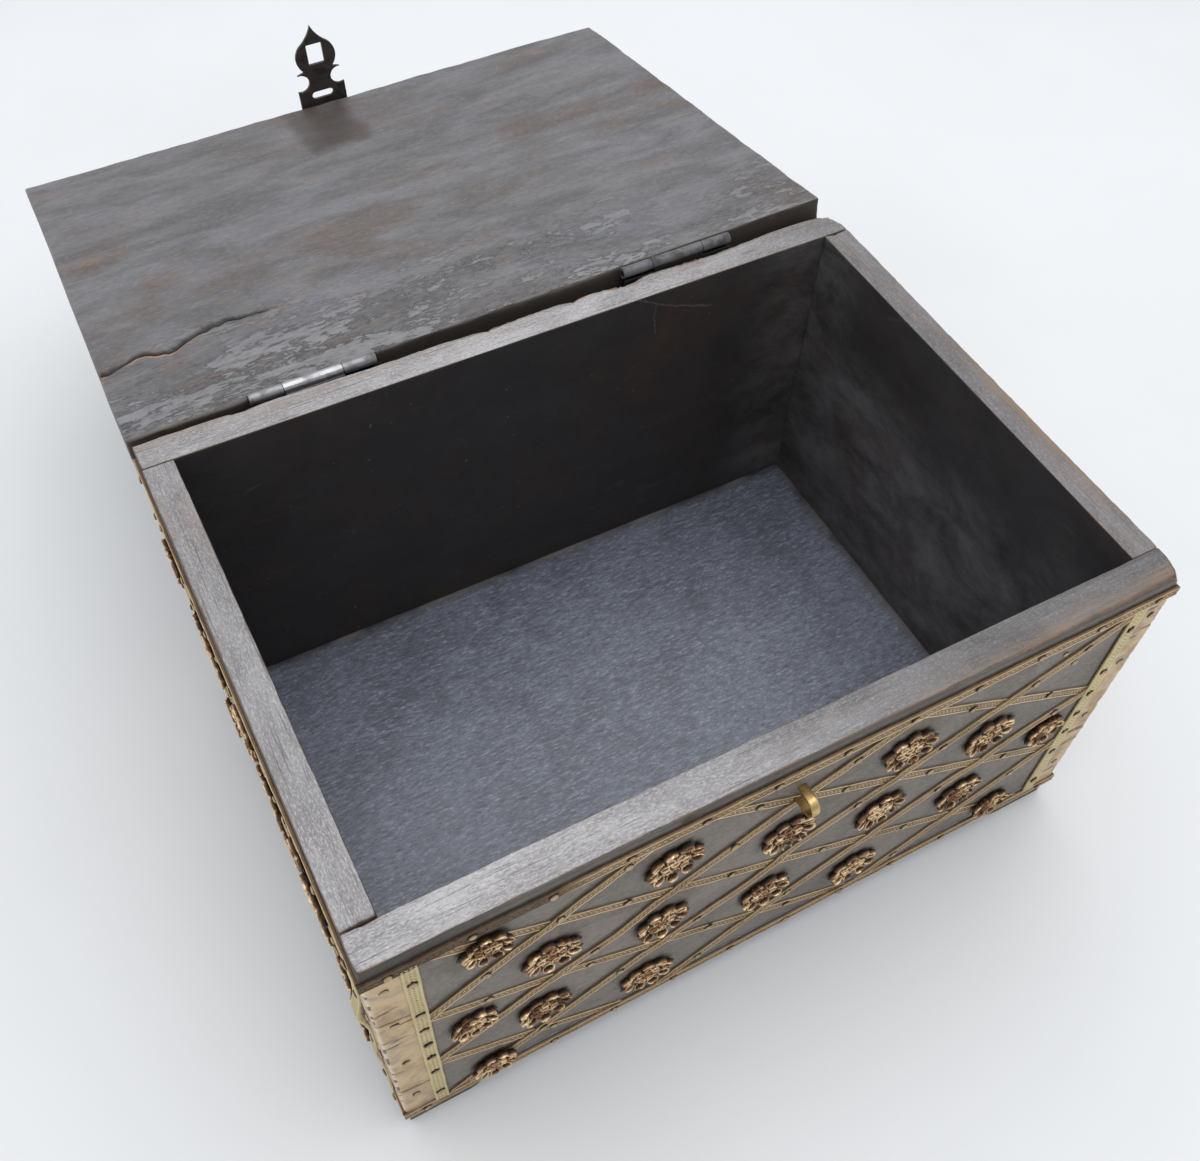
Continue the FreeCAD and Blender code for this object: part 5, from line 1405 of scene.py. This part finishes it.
class CHEST_OT_strips(bpy.types.Operator):
    """Lay the stamped brass strips over the front and the sides"""

    bl_idname = "chest.strips"
    bl_label = "Strips"

    def execute(self, context):
        brass = chest_brass()
        material = old_brass("strip_brass", brass.strip, brass.flank, 55.0)
        old_brass("edge_brass", brass.edge, shaded(brass.flank, 1.1), 40.0, dull=0.35, crest=0.12)
        for face in FACES:
            self.lay_lattice(face, brass, material)
            self.lay_borders(face, brass, material)
        return {"FINISHED"}

    def lay_lattice(self, face, brass, material):
        """The falling strips lie on the wood, and the rising ones step over them."""
        half, top, bottom = lattice_field(face)
        edge = half + LATTICE_MARGIN + 2.2 * MM
        field = (np.array((-edge, bottom - 0.8 * MM)), np.array((edge, top + 0.8 * MM)))
        falling = lattice_lines(face, FALLING_SHARES)

        def step_over(flat):
            lift = np.zeros(flat.shape[:-1])
            for line in falling:
                away = line_distance(flat, line)
                lift = np.maximum(lift, 1 - smooth(away, 0.5 * STRIP_WIDTH, 0.95 * STRIP_WIDTH))
            return STEP_OVER * lift

        rising = lattice_lines(face, RISING_SHARES)
        for kind, lines, lift in (("falling", falling, None), ("rising", rising, step_over)):
            pile = Pile("relief")
            node = "%s_%s_strips" % (face, kind)
            base = strip_base(node, face, brass)
            for line in lines:
                add_strip(pile, face, line, STRIP_WIDTH, base, brass, lift, field, 2 * STRIP_WIDTH)
            pile.make("%s_%s_brass" % (face, kind), material, "box", [node], "strip_brass")

    def lay_borders(self, face, brass, material):
        """The border strips across the face and the uprights beside the corner plates."""
        start, across, _ = FACES[face]
        for name in ("top_strip", "bottom_strip") + UPRIGHTS[face]:
            node = "%s_%s" % (face, name)
            low, high = (np.array(corner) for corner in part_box(node))
            u = np.sort(((low - start) @ across, (high - start) @ across))
            z = (low[2], high[2])
            bulge = None
            if name in UPRIGHTS[face]:
                middle, width = u.mean(), np.ptp(u)
                line = np.array(((middle, z[0] - 1.5 * MM), (middle, z[1] + 1.5 * MM)))
            else:
                width = z[1] - z[0]
                line = np.array(((u[0] + 0.4 * MM, sum(z) / 2), (u[1] - 0.4 * MM, sum(z) / 2)))
            base = strip_base(node, face, brass)
            finish = bpy.data.materials["edge_brass"] if name in UPRIGHTS[face] else material
            if node == "left_front_edge_strip":
                def bulge(flat):
                    return (
                        2.8 * MM * bump(flat[..., 1], 0.112, 0.011)
                        + 1.2 * MM * bump(flat[..., 1], 0.062, 0.009)
                    )
            pile = Pile("relief")
            add_strip(pile, face, line, width, base, brass, bulge, dark_end=node == "front_top_strip")
            pile.make(node.replace("strip", "brass"), finish, "box", [node], "strip_brass")


CORNERS = {"front_left": (-1, -1), "front_right": (1, -1), "back_left": (-1, 1), "back_right": (1, 1)}


class CHEST_OT_plates(bpy.types.Operator):
    """Wrap the wrinkled brass plates round the corners"""

    bl_idname = "chest.plates"
    bl_label = "Corner plates"

    def execute(self, context):
        material = plate_brass(chest_brass())
        for number, (name, (side, face)) in enumerate(CORNERS.items()):
            node = "corner_plate_" + name
            low, high = (np.array(corner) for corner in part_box(node))
            self.wrap(node, low, high, side, face, number, material)
        return {"FINISHED"}

    def wrap(self, node, low, high, side, face, number, material):
        """A sheet bent round the corner. s runs along the bend, 0 at the arris; the wrinkles are
        bells across the height, and dents follow noise along the arris."""
        reach = high[0] - low[0]
        bend = PLATE_BEND
        s = np.linspace(-reach, reach, 53)[None, :]
        z = np.linspace(low[2], high[2], int((high[2] - low[2]) / (0.85 * MM)))[:, None]
        ragged = 0.5 * MM * noise(np.stack((z * 1, z * 0, z * 0 + number), -1), 14 * MM)
        s, z = np.broadcast_arrays(s + ragged * np.sign(s) * (np.abs(s) > reach * 0.97), z)
        turn = np.clip(s / bend, -1, 1) * math.pi / 4
        x_in = np.where(s > 0, s, 0)
        y_in = np.where(s < 0, -s, 0)
        x_in = np.where(s > bend, x_in, bend * 0.3 + x_in * 0.7)
        y_in = np.where(s < -bend, y_in, bend * 0.3 + y_in * 0.7)
        x_in = np.where(s > 0, x_in, np.where(s > -bend, bend * 0.3 * (1 + s / bend), 0))
        y_in = np.where(s < 0, y_in, np.where(s < bend, bend * 0.3 * (1 - s / bend), 0))
        corner = np.stack((x_in, y_in), -1)
        normal = np.stack((-np.cos(turn + math.pi / 4), -np.sin(turn + math.pi / 4)), -1)
        flat = np.stack((s, z, np.full_like(s, 0.05 * number)), -1)
        random = np.random.default_rng(40 + number)
        out = 0.16 * MM * noise(flat, 9 * MM) + 0.1 * MM * noise(flat, 3 * MM, (2, 1, 1))
        crease = np.zeros_like(s)
        for _ in range(CREASES):
            height = random.uniform(low[2], high[2])
            start, length = random.uniform(-reach, reach), random.uniform(4, 13) * MM
            tilt = random.uniform(-0.18, 0.18)
            window = bump(s, start, length)
            crease = np.maximum(crease, window * bump(z - tilt * (s - start), height, 0.55 * MM))
            out += 0.22 * MM * window * bump(z - tilt * (s - start), height - 1.4 * MM, 1.0 * MM)
        dents = smooth(noise(flat * (0, 1, 1), 5 * MM), 0.15, 0.6) * bump(s, 0, 1.4 * MM)
        deepest = -0.28 * MM * (1 + 2 * (np.abs(s) < bend))
        out = np.maximum(out - 0.38 * MM * crease - 0.75 * MM * dents, deepest)
        place_xy = corner + normal * out[..., None]
        edge_x = low[0] if side < 0 else high[0]
        edge_y = low[1] if face < 0 else high[1]
        points = np.stack((edge_x - side * place_xy[..., 0], edge_y - face * place_xy[..., 1], z), -1)
        pile = Pile("relief", "arris")
        faces = grid_faces(*s.shape)
        if side * face > 0:
            faces = faces[:, ::-1]
        # Low relief in the creases and dents and round the tacks, where painted shade goes.
        relief = np.clip(0.75 - 0.95 * crease - 0.6 * dents, 0, 1)
        shade = np.ones_like(s)
        for face_name, sign in (("front" if face < 0 else None, 1), ("left" if side < 0 else "right", -1)):
            if face_name:
                u, height, _ = face_uv(face_name, points)
                ring = tack_shadow(face_name, u, height)
                shade = np.where(sign * s > 0, np.minimum(shade, ring), shade)
        arris = 0.7 * bump(s, 0, 1.3 * MM) * (1 - dents)
        pile.add(points, faces, relief=relief * (0.25 + 0.75 * shade), arris=arris)
        name = node.replace("plate", "brass")
        piece = pile.make(name, material, "box", [node], "plate_brass", 70, outward=False)
        solid = piece.modifiers.new("sheet", "SOLIDIFY")
        solid.thickness = PLATE_SHEET
        solid.offset = -1


def rosette_skin(radius, height, brass, seed):
    """A stamped flower on a polar grid. Its outline is the envelope of the petals' circles, and its
    height a low cup plus a ridge round each petal, round each inner loop and round the eye."""
    petals, loops = brass.petals, brass.loops
    angle = circle(ROSETTE_SIDES)
    share = np.concatenate((np.linspace(0, 1, 37)[1:], (0.93, 0.84)))
    random = np.random.default_rng(seed)
    petal_turn, loop_turn = random.uniform(0, 2 * math.pi, 2)
    period = 2 * math.pi / petals
    phi = (angle - petal_turn + period / 2) % period - period / 2
    swing = 0.76 * np.sin(phi)
    outline = 0.76 * np.cos(phi) + np.sqrt(np.maximum(0.25**2 - swing**2, 0.004))
    number = np.floor((angle - petal_turn + period / 2) / period) % petals
    own = random.standard_normal(petals)[number.astype(int)]
    length = 1 + 0.06 * own * np.cos(phi / period * math.pi) ** 2
    r = share[:, None] * (outline * length)[None, :]
    a = np.broadcast_to(angle, r.shape)
    flat = np.stack((r * np.cos(a), r * np.sin(a)), -1)

    def rings(count, turn, ring, size, width):
        """The nearest ring of several: how high its ridge is here."""
        step = 2 * math.pi / count
        local = (a - turn + step / 2) % step - step / 2
        away = np.hypot(r * np.cos(local) - ring, r * np.sin(local))
        return bump(away, size, width), bump(away, 0, size * 0.8)

    petal, petal_hole = rings(petals, petal_turn, 0.76, 0.19, 0.034)
    loop, loop_hole = rings(loops, loop_turn, 0.37, 0.13, 0.031)
    eye = bump(r, 0.13, 0.036)
    wobble = noise(np.concatenate((flat * 3, np.full(r.shape + (1,), seed * 0.7)), -1), 1.0)
    cup = 0.26 + 0.06 * smooth(r, 0.55, 0.9) - 0.12 * bump(r, 0.56, 0.06)
    curl = 0.32 + 0.13 * wobble + 0.13 * smooth(r, 0.7, 0.92)
    z = cup + petal * curl - 0.2 * petal_hole + loop * (0.38 + 0.08 * wobble) - 0.2 * loop_hole + 0.28 * eye
    z = np.maximum(z - 0.25 * bump(r, 0, 0.07), 0.02)
    crest = np.maximum(np.maximum(petal, loop), eye) * (0.85 + 0.35 * wobble)
    # The holes get low relief, so the recess colour paints shade into them.
    hollow = np.maximum(np.maximum(petal_hole, loop_hole), bump(r, 0, 0.08))
    relief = np.clip(0.05 + 1.1 * crest**1.9 - 0.6 * hollow * (1 - crest) - 0.2 * bump(r, 0.56, 0.06), 0, 1)
    # The outer wall below the petals: low relief, painted dark as shade.
    z[-2:] = np.array((0.14, -0.05))[:, None]
    relief[-2:] = np.array((0.15, 0.0))[:, None]
    points = np.concatenate((flat * radius, (z * height)[..., None]), -1).reshape(-1, 3)
    points = np.concatenate((points, ((0, 0, (z[0].mean() - 0.04) * height), (0, 0, -0.05 * height))))
    rows, columns = r.shape
    faces = [grid_faces(rows, columns, wrap_columns=True)]
    j = np.arange(columns)
    after = (j + 1) % columns
    faces.append(fan(rows * columns, j, after))
    last = (rows - 1) * columns
    faces.append(fan(rows * columns + 1, last + after, last + j))
    return points, faces, np.concatenate((relief.ravel(), (0.0, 0.0)))


class CHEST_OT_rosettes(bpy.types.Operator):
    """Set the stamped rosettes on each face"""

    bl_idname = "chest.rosettes"
    bl_label = "Rosettes"

    def execute(self, context):
        brass = chest_brass()
        material = old_brass(
            "rosette_brass", brass.rosette, brass.copper, 180.0, 0.33, dull=0.5, recess=brass.recess,
            crest=0.36, depth=0.07 * MM
        )
        for number, face in enumerate(FACES):
            pile = Pile("relief")
            start, across, outward = FACES[face]
            node = face + "_rosettes"
            for k, (low, high) in enumerate(node_solids(node)):
                u, z, out = face_uv(face, np.stack((low, high)))
                radius = (high[2] - low[2]) / 2 * 0.99
                local, faces, relief = rosette_skin(radius, np.ptp(out), brass, 100 * number + k)
                tilt = 0.05 * noise(np.array((k * 3.1, number * 1.7, 0.4)), 1.0)
                local[:, 2] += tilt * local[:, 0]
                back = max(out.min(), 0.1 * MM)
                points = start + (u.mean() + local[:, :1]) * across + (z.mean() + local[:, 1:2]) * Z
                points = points + (back + local[:, 2:]) * outward
                pile.add(points, faces, relief=relief)
            pile.make(face + "_flowers", material, "box", [node], "rosette_brass", 80)
        return {"FINISHED"}


def add_tack(pile, middle, across, up, outward, radius, height, random):
    """A domed head: rings of radius r sin(t) at height h cos(t), squashed and tilted a little."""
    t = np.array((0.42, 0.85, 1.25, 1.57))[:, None]
    a = circle(TACK_SIDES)[None, :]
    squash = random.uniform(0.86, 1.1)
    turn = random.uniform(0, math.pi)
    x, y = np.sin(t) * np.cos(a) * squash, np.sin(t) * np.sin(a) / squash
    x, y = x * math.cos(turn) - y * math.sin(turn), x * math.sin(turn) + y * math.cos(turn)
    z = np.cos(t) * np.ones_like(a) * height + 0.1 * height
    tilt = random.uniform(-0.12, 0.12, 2)
    z = z + radius * (tilt[0] * x + tilt[1] * y)
    rings = middle + radius * x[..., None] * across + radius * y[..., None] * up + z[..., None] * outward
    foot = rings[-1:] - outward * (0.35 * height + z[-1:, :, None])
    # Bright top, dark rim and foot: rubbed brass, with painted shading that rounds the dome.
    relief = np.broadcast_to(np.array((1.0, 0.95, 0.5, 0.0, 0.0))[:, None], (5, TACK_SIDES))
    pile.tube(np.concatenate((rings, foot)), relief=relief)


class CHEST_OT_tacks(bpy.types.Operator):
    """Drive the brass tacks into each face"""

    bl_idname = "chest.tacks"
    bl_label = "Tacks"

    def execute(self, context):
        brass = chest_brass()
        worn, deep = shaded(brass.strip, 0.68), shaded(brass.flank, 0.7)
        material = old_brass("tack_brass", worn, deep, 220.0, 0.3, dull=0.7)
        random = np.random.default_rng(5)
        for face, (start, across, outward) in FACES.items():
            pile = Pile("relief")
            for u, z, out, radius in tack_places(face):
                middle = start + u * across + z * Z + out * outward
                reach = radius * random.uniform(0.82, 0.95)
                add_tack(pile, middle, across, Z, outward, reach, TACK_HEIGHT, random)
            pile.make(face + "_tacks", material, "box", [face + "_nails"], "tack_brass")
        return {"FINISHED"}


class CHEST_OT_staple(bpy.types.Operator):
    """Bend the brass staple that the hasp goes over"""

    bl_idname = "chest.staple"
    bl_label = "Staple"

    def execute(self, context):
        low, high = (np.array(corner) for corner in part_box("staple"))
        thick = STAPLE_THICK
        middle = (low + high) / 2
        half = (high[2] - low[2] - thick) / 2
        legs_end = high[1]
        bend = low[1] + thick / 2 + half
        turn = np.linspace(0, math.pi, 25)
        arc = np.stack((bend - half * np.sin(turn), middle[2] - half * np.cos(turn)), -1)
        leg = np.linspace(legs_end, bend, 14)[:-1]
        path = np.concatenate((
            np.stack((leg, np.full_like(leg, middle[2] - half)), -1), arc,
            np.stack((leg[::-1], np.full_like(leg, middle[2] + half)), -1),
        ))
        along = unit(np.gradient(path, axis=0))
        side = np.stack((along[:, 1], -along[:, 0]), -1)
        a = circle(28)
        wide = 0.8 * np.sign(np.cos(a)) * np.abs(np.cos(a)) ** 0.4 * (high[0] - low[0]) / 2
        deep = np.sign(np.sin(a)) * np.abs(np.sin(a)) ** 0.6 * thick / 2
        at = np.linspace(0, 1, len(path))[:, None]
        spots = np.broadcast_arrays(at * 30, np.cos(a)[None, :] * 2, np.sin(a)[None, :])
        dent = 0.12 * MM * noise(np.stack(spots, -1), 2.0)
        wander = noise(np.concatenate((at * 40, at * 0, at * 0), -1), 3.0)[:, None]
        narrow = 1 - 0.12 * bump(at, 0.5, 0.22) - 0.05 * wander
        x = middle[0] + wide[None, :] * narrow
        offset = deep[None, :] + dent
        rings = np.stack((
            x, path[:, None, 0] + side[:, None, 0] * offset, path[:, None, 1] + side[:, None, 1] * offset,
        ), -1)
        pile = Pile("relief")
        rubbed = (
            0.55
            + 0.45 * bump(path[:, 0], low[1], 6 * MM)[:, None]
            - 0.3 * (np.abs(np.cos(a)) > 0.93)[None, :]
        )
        pile.tube(rings, relief=np.clip(rubbed, 0, 1))
        material = old_brass("staple_brass", (0.66, 0.47, 0.2), (0.24, 0.14, 0.05), 260.0, 0.24, dull=0.6)
        pile.make("staple_loop", material, "box", ["staple"], "staple_brass", 60)
        return {"FINISHED"}


def hinge_axes(pin_node):
    """A hinge's middle on its line, and the line's direction, level across it and upward."""
    low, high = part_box(pin_node)
    line, start = np.array(LID_HINGE["axis"]), np.array(LID_HINGE["pos_m"])
    middle = start + line * (((low.x + high.x) / 2 - start[0]) / line[0])
    back = unit(np.cross(Z, line))
    return middle, line, back, np.cross(line, back)


def local_box(node, middle, axes, matrix=None):
    """A node's lowest and highest places along some axes from a middle."""
    points = node_points(node)
    if matrix is not None:
        points = turned(points, matrix)
    local = (points - middle) @ np.stack(axes).T
    return local.min(0), local.max(0)


def add_knuckle(pile, start, end, radius, bore, burr, seed):
    """A rolled knuckle: a tube along x with a seam, and ends that a burr stands out of."""
    x = np.concatenate(((start,), np.linspace(start, end, 22), (end,)))[:, None]
    a = circle(32)[None, :]
    edge = np.minimum(x - start, end - x)
    rough = noise(np.stack(np.broadcast_arrays(x / MM, np.cos(a) * 2, np.sin(a) * 2 + seed), -1), 1.6)
    r = (
        radius * (0.97 + 0.03 * smooth(edge, 0, 0.6 * MM))
        + 0.09 * MM * rough
        - 0.35 * MM * bump(a, 4.4, 0.09)
    )
    for end_x, size in ((start, burr[0]), (end, burr[1])):
        r = r + size * bump(x, end_x, 0.5 * MM) * bump(a, 1.9, 0.5)
    r[0], r[-1] = bore, bore
    rings = np.stack(np.broadcast_arrays(x, r * np.cos(a), r * np.sin(a)), -1)
    pile.tube(rings, relief=np.clip(0.75 + 0.3 * rough, 0, 1))


class CHEST_OT_hinges(bpy.types.Operator):
    """Build the two steel hinges and their tacks"""

    bl_idname = "chest.hinges"
    bl_label = "Hinges"

    def execute(self, context):
        dull = old_iron("hinge_steel", (0.3, 0.3, 0.31), (0.13, 0.13, 0.135), 0.3, 0.42, relief=True)
        dusty = old_iron(
            "dusty_steel", (0.16, 0.16, 0.17), (0.075, 0.072, 0.075), 0.4, 0.55, 0.5, relief=True
        )
        shiny = old_iron("rubbed_steel", (0.46, 0.46, 0.47), (0.26, 0.26, 0.27), 0.1, 0.2, 0.95, relief=True)
        for name in ("left", "right"):
            self.build_leaf(name, "box", shiny if name == "left" else dusty, Matrix.Identity(4))
            self.build_leaf(name, "lid", dull if name == "left" else dusty, OPEN.inverted())
            dress_node(name + "_hinge_pin", dull)
        random = np.random.default_rng(9)
        sets = (("hinge_box_nails", "box", Matrix.Identity(4)), ("hinge_lid_nails", "lid", OPEN))
        for node, body, matrix in sets:
            pile = Pile("relief")
            for low, high in self.head_boxes(node, matrix):
                middle = turned(((low + high) / 2 * (1, 0, 1) + low * (0, 1, 0))[None, :], matrix)[0]
                across, up, out = (np.array(matrix)[:3, :3] @ axis for axis in (X, Z, Y))
                add_tack(pile, middle, across, up, out, (high[0] - low[0]) / 2, HINGE_TACK_HEIGHT, random)
            pile.make(node.replace("nails", "heads"), dull, body, [node], "hinge_steel")
        return {"FINISHED"}

    def head_boxes(self, node, matrix):
        """The tack heads' corners with the lid shut."""
        back = matrix.inverted()
        boxes = []
        for low, high in node_solids(node):
            corners = np.array(list(itertools.product(*zip(low, high))))
            shut = turned(corners, back)
            middle, size = shut.mean(0), (high - low)
            boxes.append((middle - size / 2, middle + size / 2))
        return boxes

    def build_leaf(self, name, body, material, to_shut):
        """A plate with rounded edges, its webs and its rolled knuckles, in the hinge's own axes."""
        node = "%s_hinge_%s_leaf" % (name, body)
        middle, line, back, up = hinge_axes(name + "_hinge_pin")
        axes = (line, back, up)
        low, high = local_box(node, middle, axes, to_shut)
        pin_low, pin_high = local_box(name + "_hinge_pin", middle, axes)
        half, bore = (high[0] - low[0]) / 2, (pin_high[1] - pin_low[1]) / 2
        knuckle = high[1] if body == "box" else max(high[1], -low[2])
        thick = LEAF_THICK
        clear = knuckle + KNUCKLE_CLEAR
        inner = KNUCKLE_HALF
        pile = Pile("relief")
        if body == "box":
            plate_low = np.array((-half, low[1], low[2]))
            plate_high = np.array((half, low[1] + thick, -clear))
            stretches = ((-inner, inner, (0.0, 0.0)),)
        else:
            plate_low = np.array((-half, low[1], clear))
            plate_high = np.array((half, low[1] + thick, high[2]))
            stretches = (
                (-half, -inner - KNUCKLE_GAP, (0.9 * MM, 0.2 * MM)),
                (inner + KNUCKLE_GAP, half, (0.2 * MM, 0.9 * MM)),
            )
        self.add_block(pile, plate_low, plate_high)
        for seed, (start, end, burr) in enumerate(stretches):
            add_knuckle(pile, start, end, knuckle, bore, burr, seed)
            if body == "box":
                bridge, web = (plate_high[2], -0.25 * MM), -0.3 * MM - thick
            else:
                bridge, web = (0.25 * MM, plate_low[2]), 0.3 * MM
            bottom, top = np.array((start, low[1], bridge[0])), np.array((end, low[1] + thick, bridge[1]))
            self.add_block(pile, bottom, top)
            self.add_block(pile, np.array((start, low[1], web)), np.array((end, -bore, web + thick)))
        turn = np.stack(axes)
        pile.points = [turned(points @ turn + middle, Matrix(to_shut).inverted()) for points in pile.points]
        pile.make("%s_hinge_%s_plate" % (name, body), material, body, [node], "hinge_steel", 40)

    def add_block(self, pile, low, high):
        """A small plate with softened edges."""
        worn, faces, *_ = worn_block(low, high, 2.5 * MM, 0.25 * MM, swell=0.05 * MM)
        pile.add(worn, faces, relief=0.05)


def eased_copy(name, node, material, body, slot, width):
    """A copy of a flat CAD node with its points merged, its flat faces joined and its edges bevelled."""
    mesh = frame["nodes"][node].data.copy()
    shell = bmesh.new()
    shell.from_mesh(mesh)
    bmesh.ops.remove_doubles(shell, verts=shell.verts, dist=MM / 200)
    bmesh.ops.dissolve_limit(shell, angle_limit=math.radians(1), verts=shell.verts, edges=shell.edges)
    bmesh.ops.recalc_face_normals(shell, faces=shell.faces)
    shell.to_mesh(mesh)
    shell.free()
    piece = place(bpy.data.objects.new(name, mesh), material, body, [node], slot)
    bevel = piece.modifiers.new("eased", "BEVEL")
    bevel.width = width
    bevel.segments = 2
    bevel.limit_method = "ANGLE"
    bevel.angle_limit = math.radians(40)
    mesh.shade_smooth()
    mesh.set_sharp_from_angle(angle=math.radians(35))


class CHEST_OT_hasp(bpy.types.Operator):
    """Forge the hasp, its strap, its pin and the strap's tacks"""

    bl_idname = "chest.hasp"
    bl_label = "Hasp"

    def execute(self, context):
        iron = old_iron("dark_iron", (0.075, 0.065, 0.06), (0.03, 0.026, 0.024), 0.8, 0.42, 0.6)
        eased_copy("hasp_plate", "hasp", iron, "hasp", "dark_iron", 0.3 * MM)
        eased_copy("hasp_band", "hasp_strap", iron, "lid", "dark_iron", 0.25 * MM)
        dress_node("hasp_pin", iron)
        dress_node("hasp_strap_nails", iron)
        return {"FINISHED"}


class CHEST_OT_stage(bpy.types.Operator):
    """Set the floor, the soft light and the camera"""

    bl_idname = "chest.stage"
    bl_label = "Stage"

    def execute(self, context):
        stage = context.scene.chest_stage
        self.set_ground(stage)
        self.set_sky(stage)
        self.set_lamp(stage)
        self.set_camera(context, stage)
        context.scene.view_settings.view_transform = "Standard"
        return {"FINISHED"}

    def set_ground(self, stage):
        """A wide round floor: rings of growing radius, at the height of the feet."""
        radius = np.array(GROUND_RINGS)[:, None]
        a = circle(GROUND_SIDES)[None, :]
        rings = np.stack((radius * np.cos(a), radius * np.sin(a), radius * np.zeros_like(a)), -1)
        points = np.concatenate((rings.reshape(-1, 3), ((0, 0, 0),)))
        j = np.arange(GROUND_SIDES)
        middle = fan(len(points) - 1, j, (j + 1) % GROUND_SIDES).tolist()
        faces = grid_faces(len(radius), GROUND_SIDES, wrap_columns=True).tolist() + middle
        mesh = bpy.data.meshes.new("ground")
        mesh.from_pydata(points, [], faces)
        ground = bpy.data.objects.new("ground", mesh)
        bpy.context.scene.collection.objects.link(ground)
        material, tree, shader = new_material("ground")
        spot = object_place(tree)
        tone = stepped(tree, noisy(tree, spot, 3.0, 4.0), 0.35, 0.65)
        colour = mixed(tree, tone, stage.ground, [c * 0.965 for c in stage.ground])
        tree.links.new(colour, shader.inputs["Base Color"])
        shader.inputs["Roughness"].default_value = 0.55
        mesh.materials.append(material)

    def set_sky(self, stage):
        """An even pale light all round, seen as near white by the camera and in reflections."""
        world = bpy.data.worlds.new("sky")
        bpy.context.scene.world = world
        world.use_nodes = True
        tree = world.node_tree
        tree.nodes.clear()
        ray = tree.nodes.new("ShaderNodeLightPath").outputs
        seen = maths(tree, "MAXIMUM", ray["Is Camera Ray"], ray["Is Glossy Ray"])
        seen = maths(tree, "MAXIMUM", seen, ray["Is Transmission Ray"])
        light = add_node(tree, "ShaderNodeBackground", Color=(*stage.sky, 1), Strength=stage.sky_light)
        direction = tree.nodes.new("ShaderNodeTexCoord").outputs["Generated"]
        towards = vector_maths(tree, "DOT_PRODUCT", direction, SKY_SIDE)["Value"]
        strength = stepped(tree, towards, -0.5, 0.55, 0.5, 1.0)
        strength = maths(tree, "MAXIMUM", strength, times(tree, ray["Is Camera Ray"], 0.9))
        pale = add_node(tree, "ShaderNodeBackground", Color=(*stage.sky, 1), Strength=strength)
        both = tree.nodes.new("ShaderNodeMixShader")
        tree.links.new(seen, both.inputs[0])
        tree.links.new(light.outputs[0], both.inputs[1])
        tree.links.new(pale.outputs[0], both.inputs[2])
        tree.links.new(both.outputs[0], tree.nodes.new("ShaderNodeOutputWorld").inputs["Surface"])

    def set_lamp(self, stage):
        """One large soft lamp above the box, a little to its right."""
        light = bpy.data.lights.new("soft_lamp", "AREA")
        light.shape = "RECTANGLE"
        light.size, light.size_y = LAMP_SIZE
        light.energy = stage.lamp
        lamp = bpy.data.objects.new("soft_lamp", light)
        lamp.location = LAMP_PLACE
        aim = Vector((0, 0, 0)) - lamp.location
        lamp.rotation_euler = aim.to_track_quat("-Z", "Y").to_euler()
        bpy.context.scene.collection.objects.link(lamp)

    def set_camera(self, context, stage):
        """The photograph's viewpoint, from its place, its two angles and its roll."""
        data = bpy.data.cameras.new("camera")
        data.lens = stage.lens
        data.sensor_width = SENSOR
        data.clip_start = 0.01
        camera = bpy.data.objects.new("camera", data)
        context.scene.collection.objects.link(camera)
        level = math.cos(stage.down)
        forward = Vector(
            (math.sin(stage.azimuth) * level, math.cos(stage.azimuth) * level, -math.sin(stage.down))
        )
        flat_right = Vector((math.cos(stage.azimuth), -math.sin(stage.azimuth), 0))
        flat_up = flat_right.cross(forward)
        right = math.cos(stage.roll) * flat_right + math.sin(stage.roll) * flat_up
        up = right.cross(forward)
        turn = Matrix((right, up, -forward)).transposed()
        camera.matrix_world = Matrix.Translation(stage.eye) @ turn.to_4x4()
        context.scene.camera = camera


class CHEST_PT_panel(bpy.types.Panel):
    """The chest's steps, in the order that they are taken"""

    bl_label = "Brass Bound Chest"
    bl_idname = "CHEST_PT_panel"
    bl_space_type = "VIEW_3D"
    bl_region_type = "UI"
    bl_category = "Chest"

    def draw(self, context):
        layout = self.layout
        for group in (context.scene.chest_wood, context.scene.chest_brass, context.scene.chest_stage):
            for name in group.__annotations__:
                layout.prop(group, name)
        for step in STEPS:
            layout.operator(step.bl_idname)


STEPS = (
    CHEST_OT_stage, CHEST_OT_walls, CHEST_OT_floor, CHEST_OT_lid, CHEST_OT_strips, CHEST_OT_plates,
    CHEST_OT_rosettes, CHEST_OT_tacks, CHEST_OT_staple, CHEST_OT_hinges, CHEST_OT_hasp,
)
GROUPS = (ChestWood, ChestBrass, ChestStage)


def register():
    """Register the classes and hang the property groups on the scene."""
    for item in GROUPS + STEPS + (CHEST_PT_panel,):
        bpy.utils.register_class(item)
    bpy.types.Scene.chest_wood = PointerProperty(type=ChestWood)
    bpy.types.Scene.chest_brass = PointerProperty(type=ChestBrass)
    bpy.types.Scene.chest_stage = PointerProperty(type=ChestStage)


def unregister():
    """Take the property groups and the classes away again."""
    del bpy.types.Scene.chest_stage
    del bpy.types.Scene.chest_brass
    del bpy.types.Scene.chest_wood
    for item in reversed(GROUPS + STEPS + (CHEST_PT_panel,)):
        bpy.utils.unregister_class(item)


def main():
    """Build the chest step by step."""
    register()
    wood_group()
    stroke_group()
    metal_group()
    bpy.ops.chest.stage()
    bpy.ops.chest.walls()
    bpy.ops.chest.floor()
    bpy.ops.chest.lid()
    bpy.ops.chest.strips()
    bpy.ops.chest.plates()
    bpy.ops.chest.rosettes()
    bpy.ops.chest.tacks()
    bpy.ops.chest.staple()
    bpy.ops.chest.hinges()
    bpy.ops.chest.hasp()


if __name__ == "__main__":
    main()
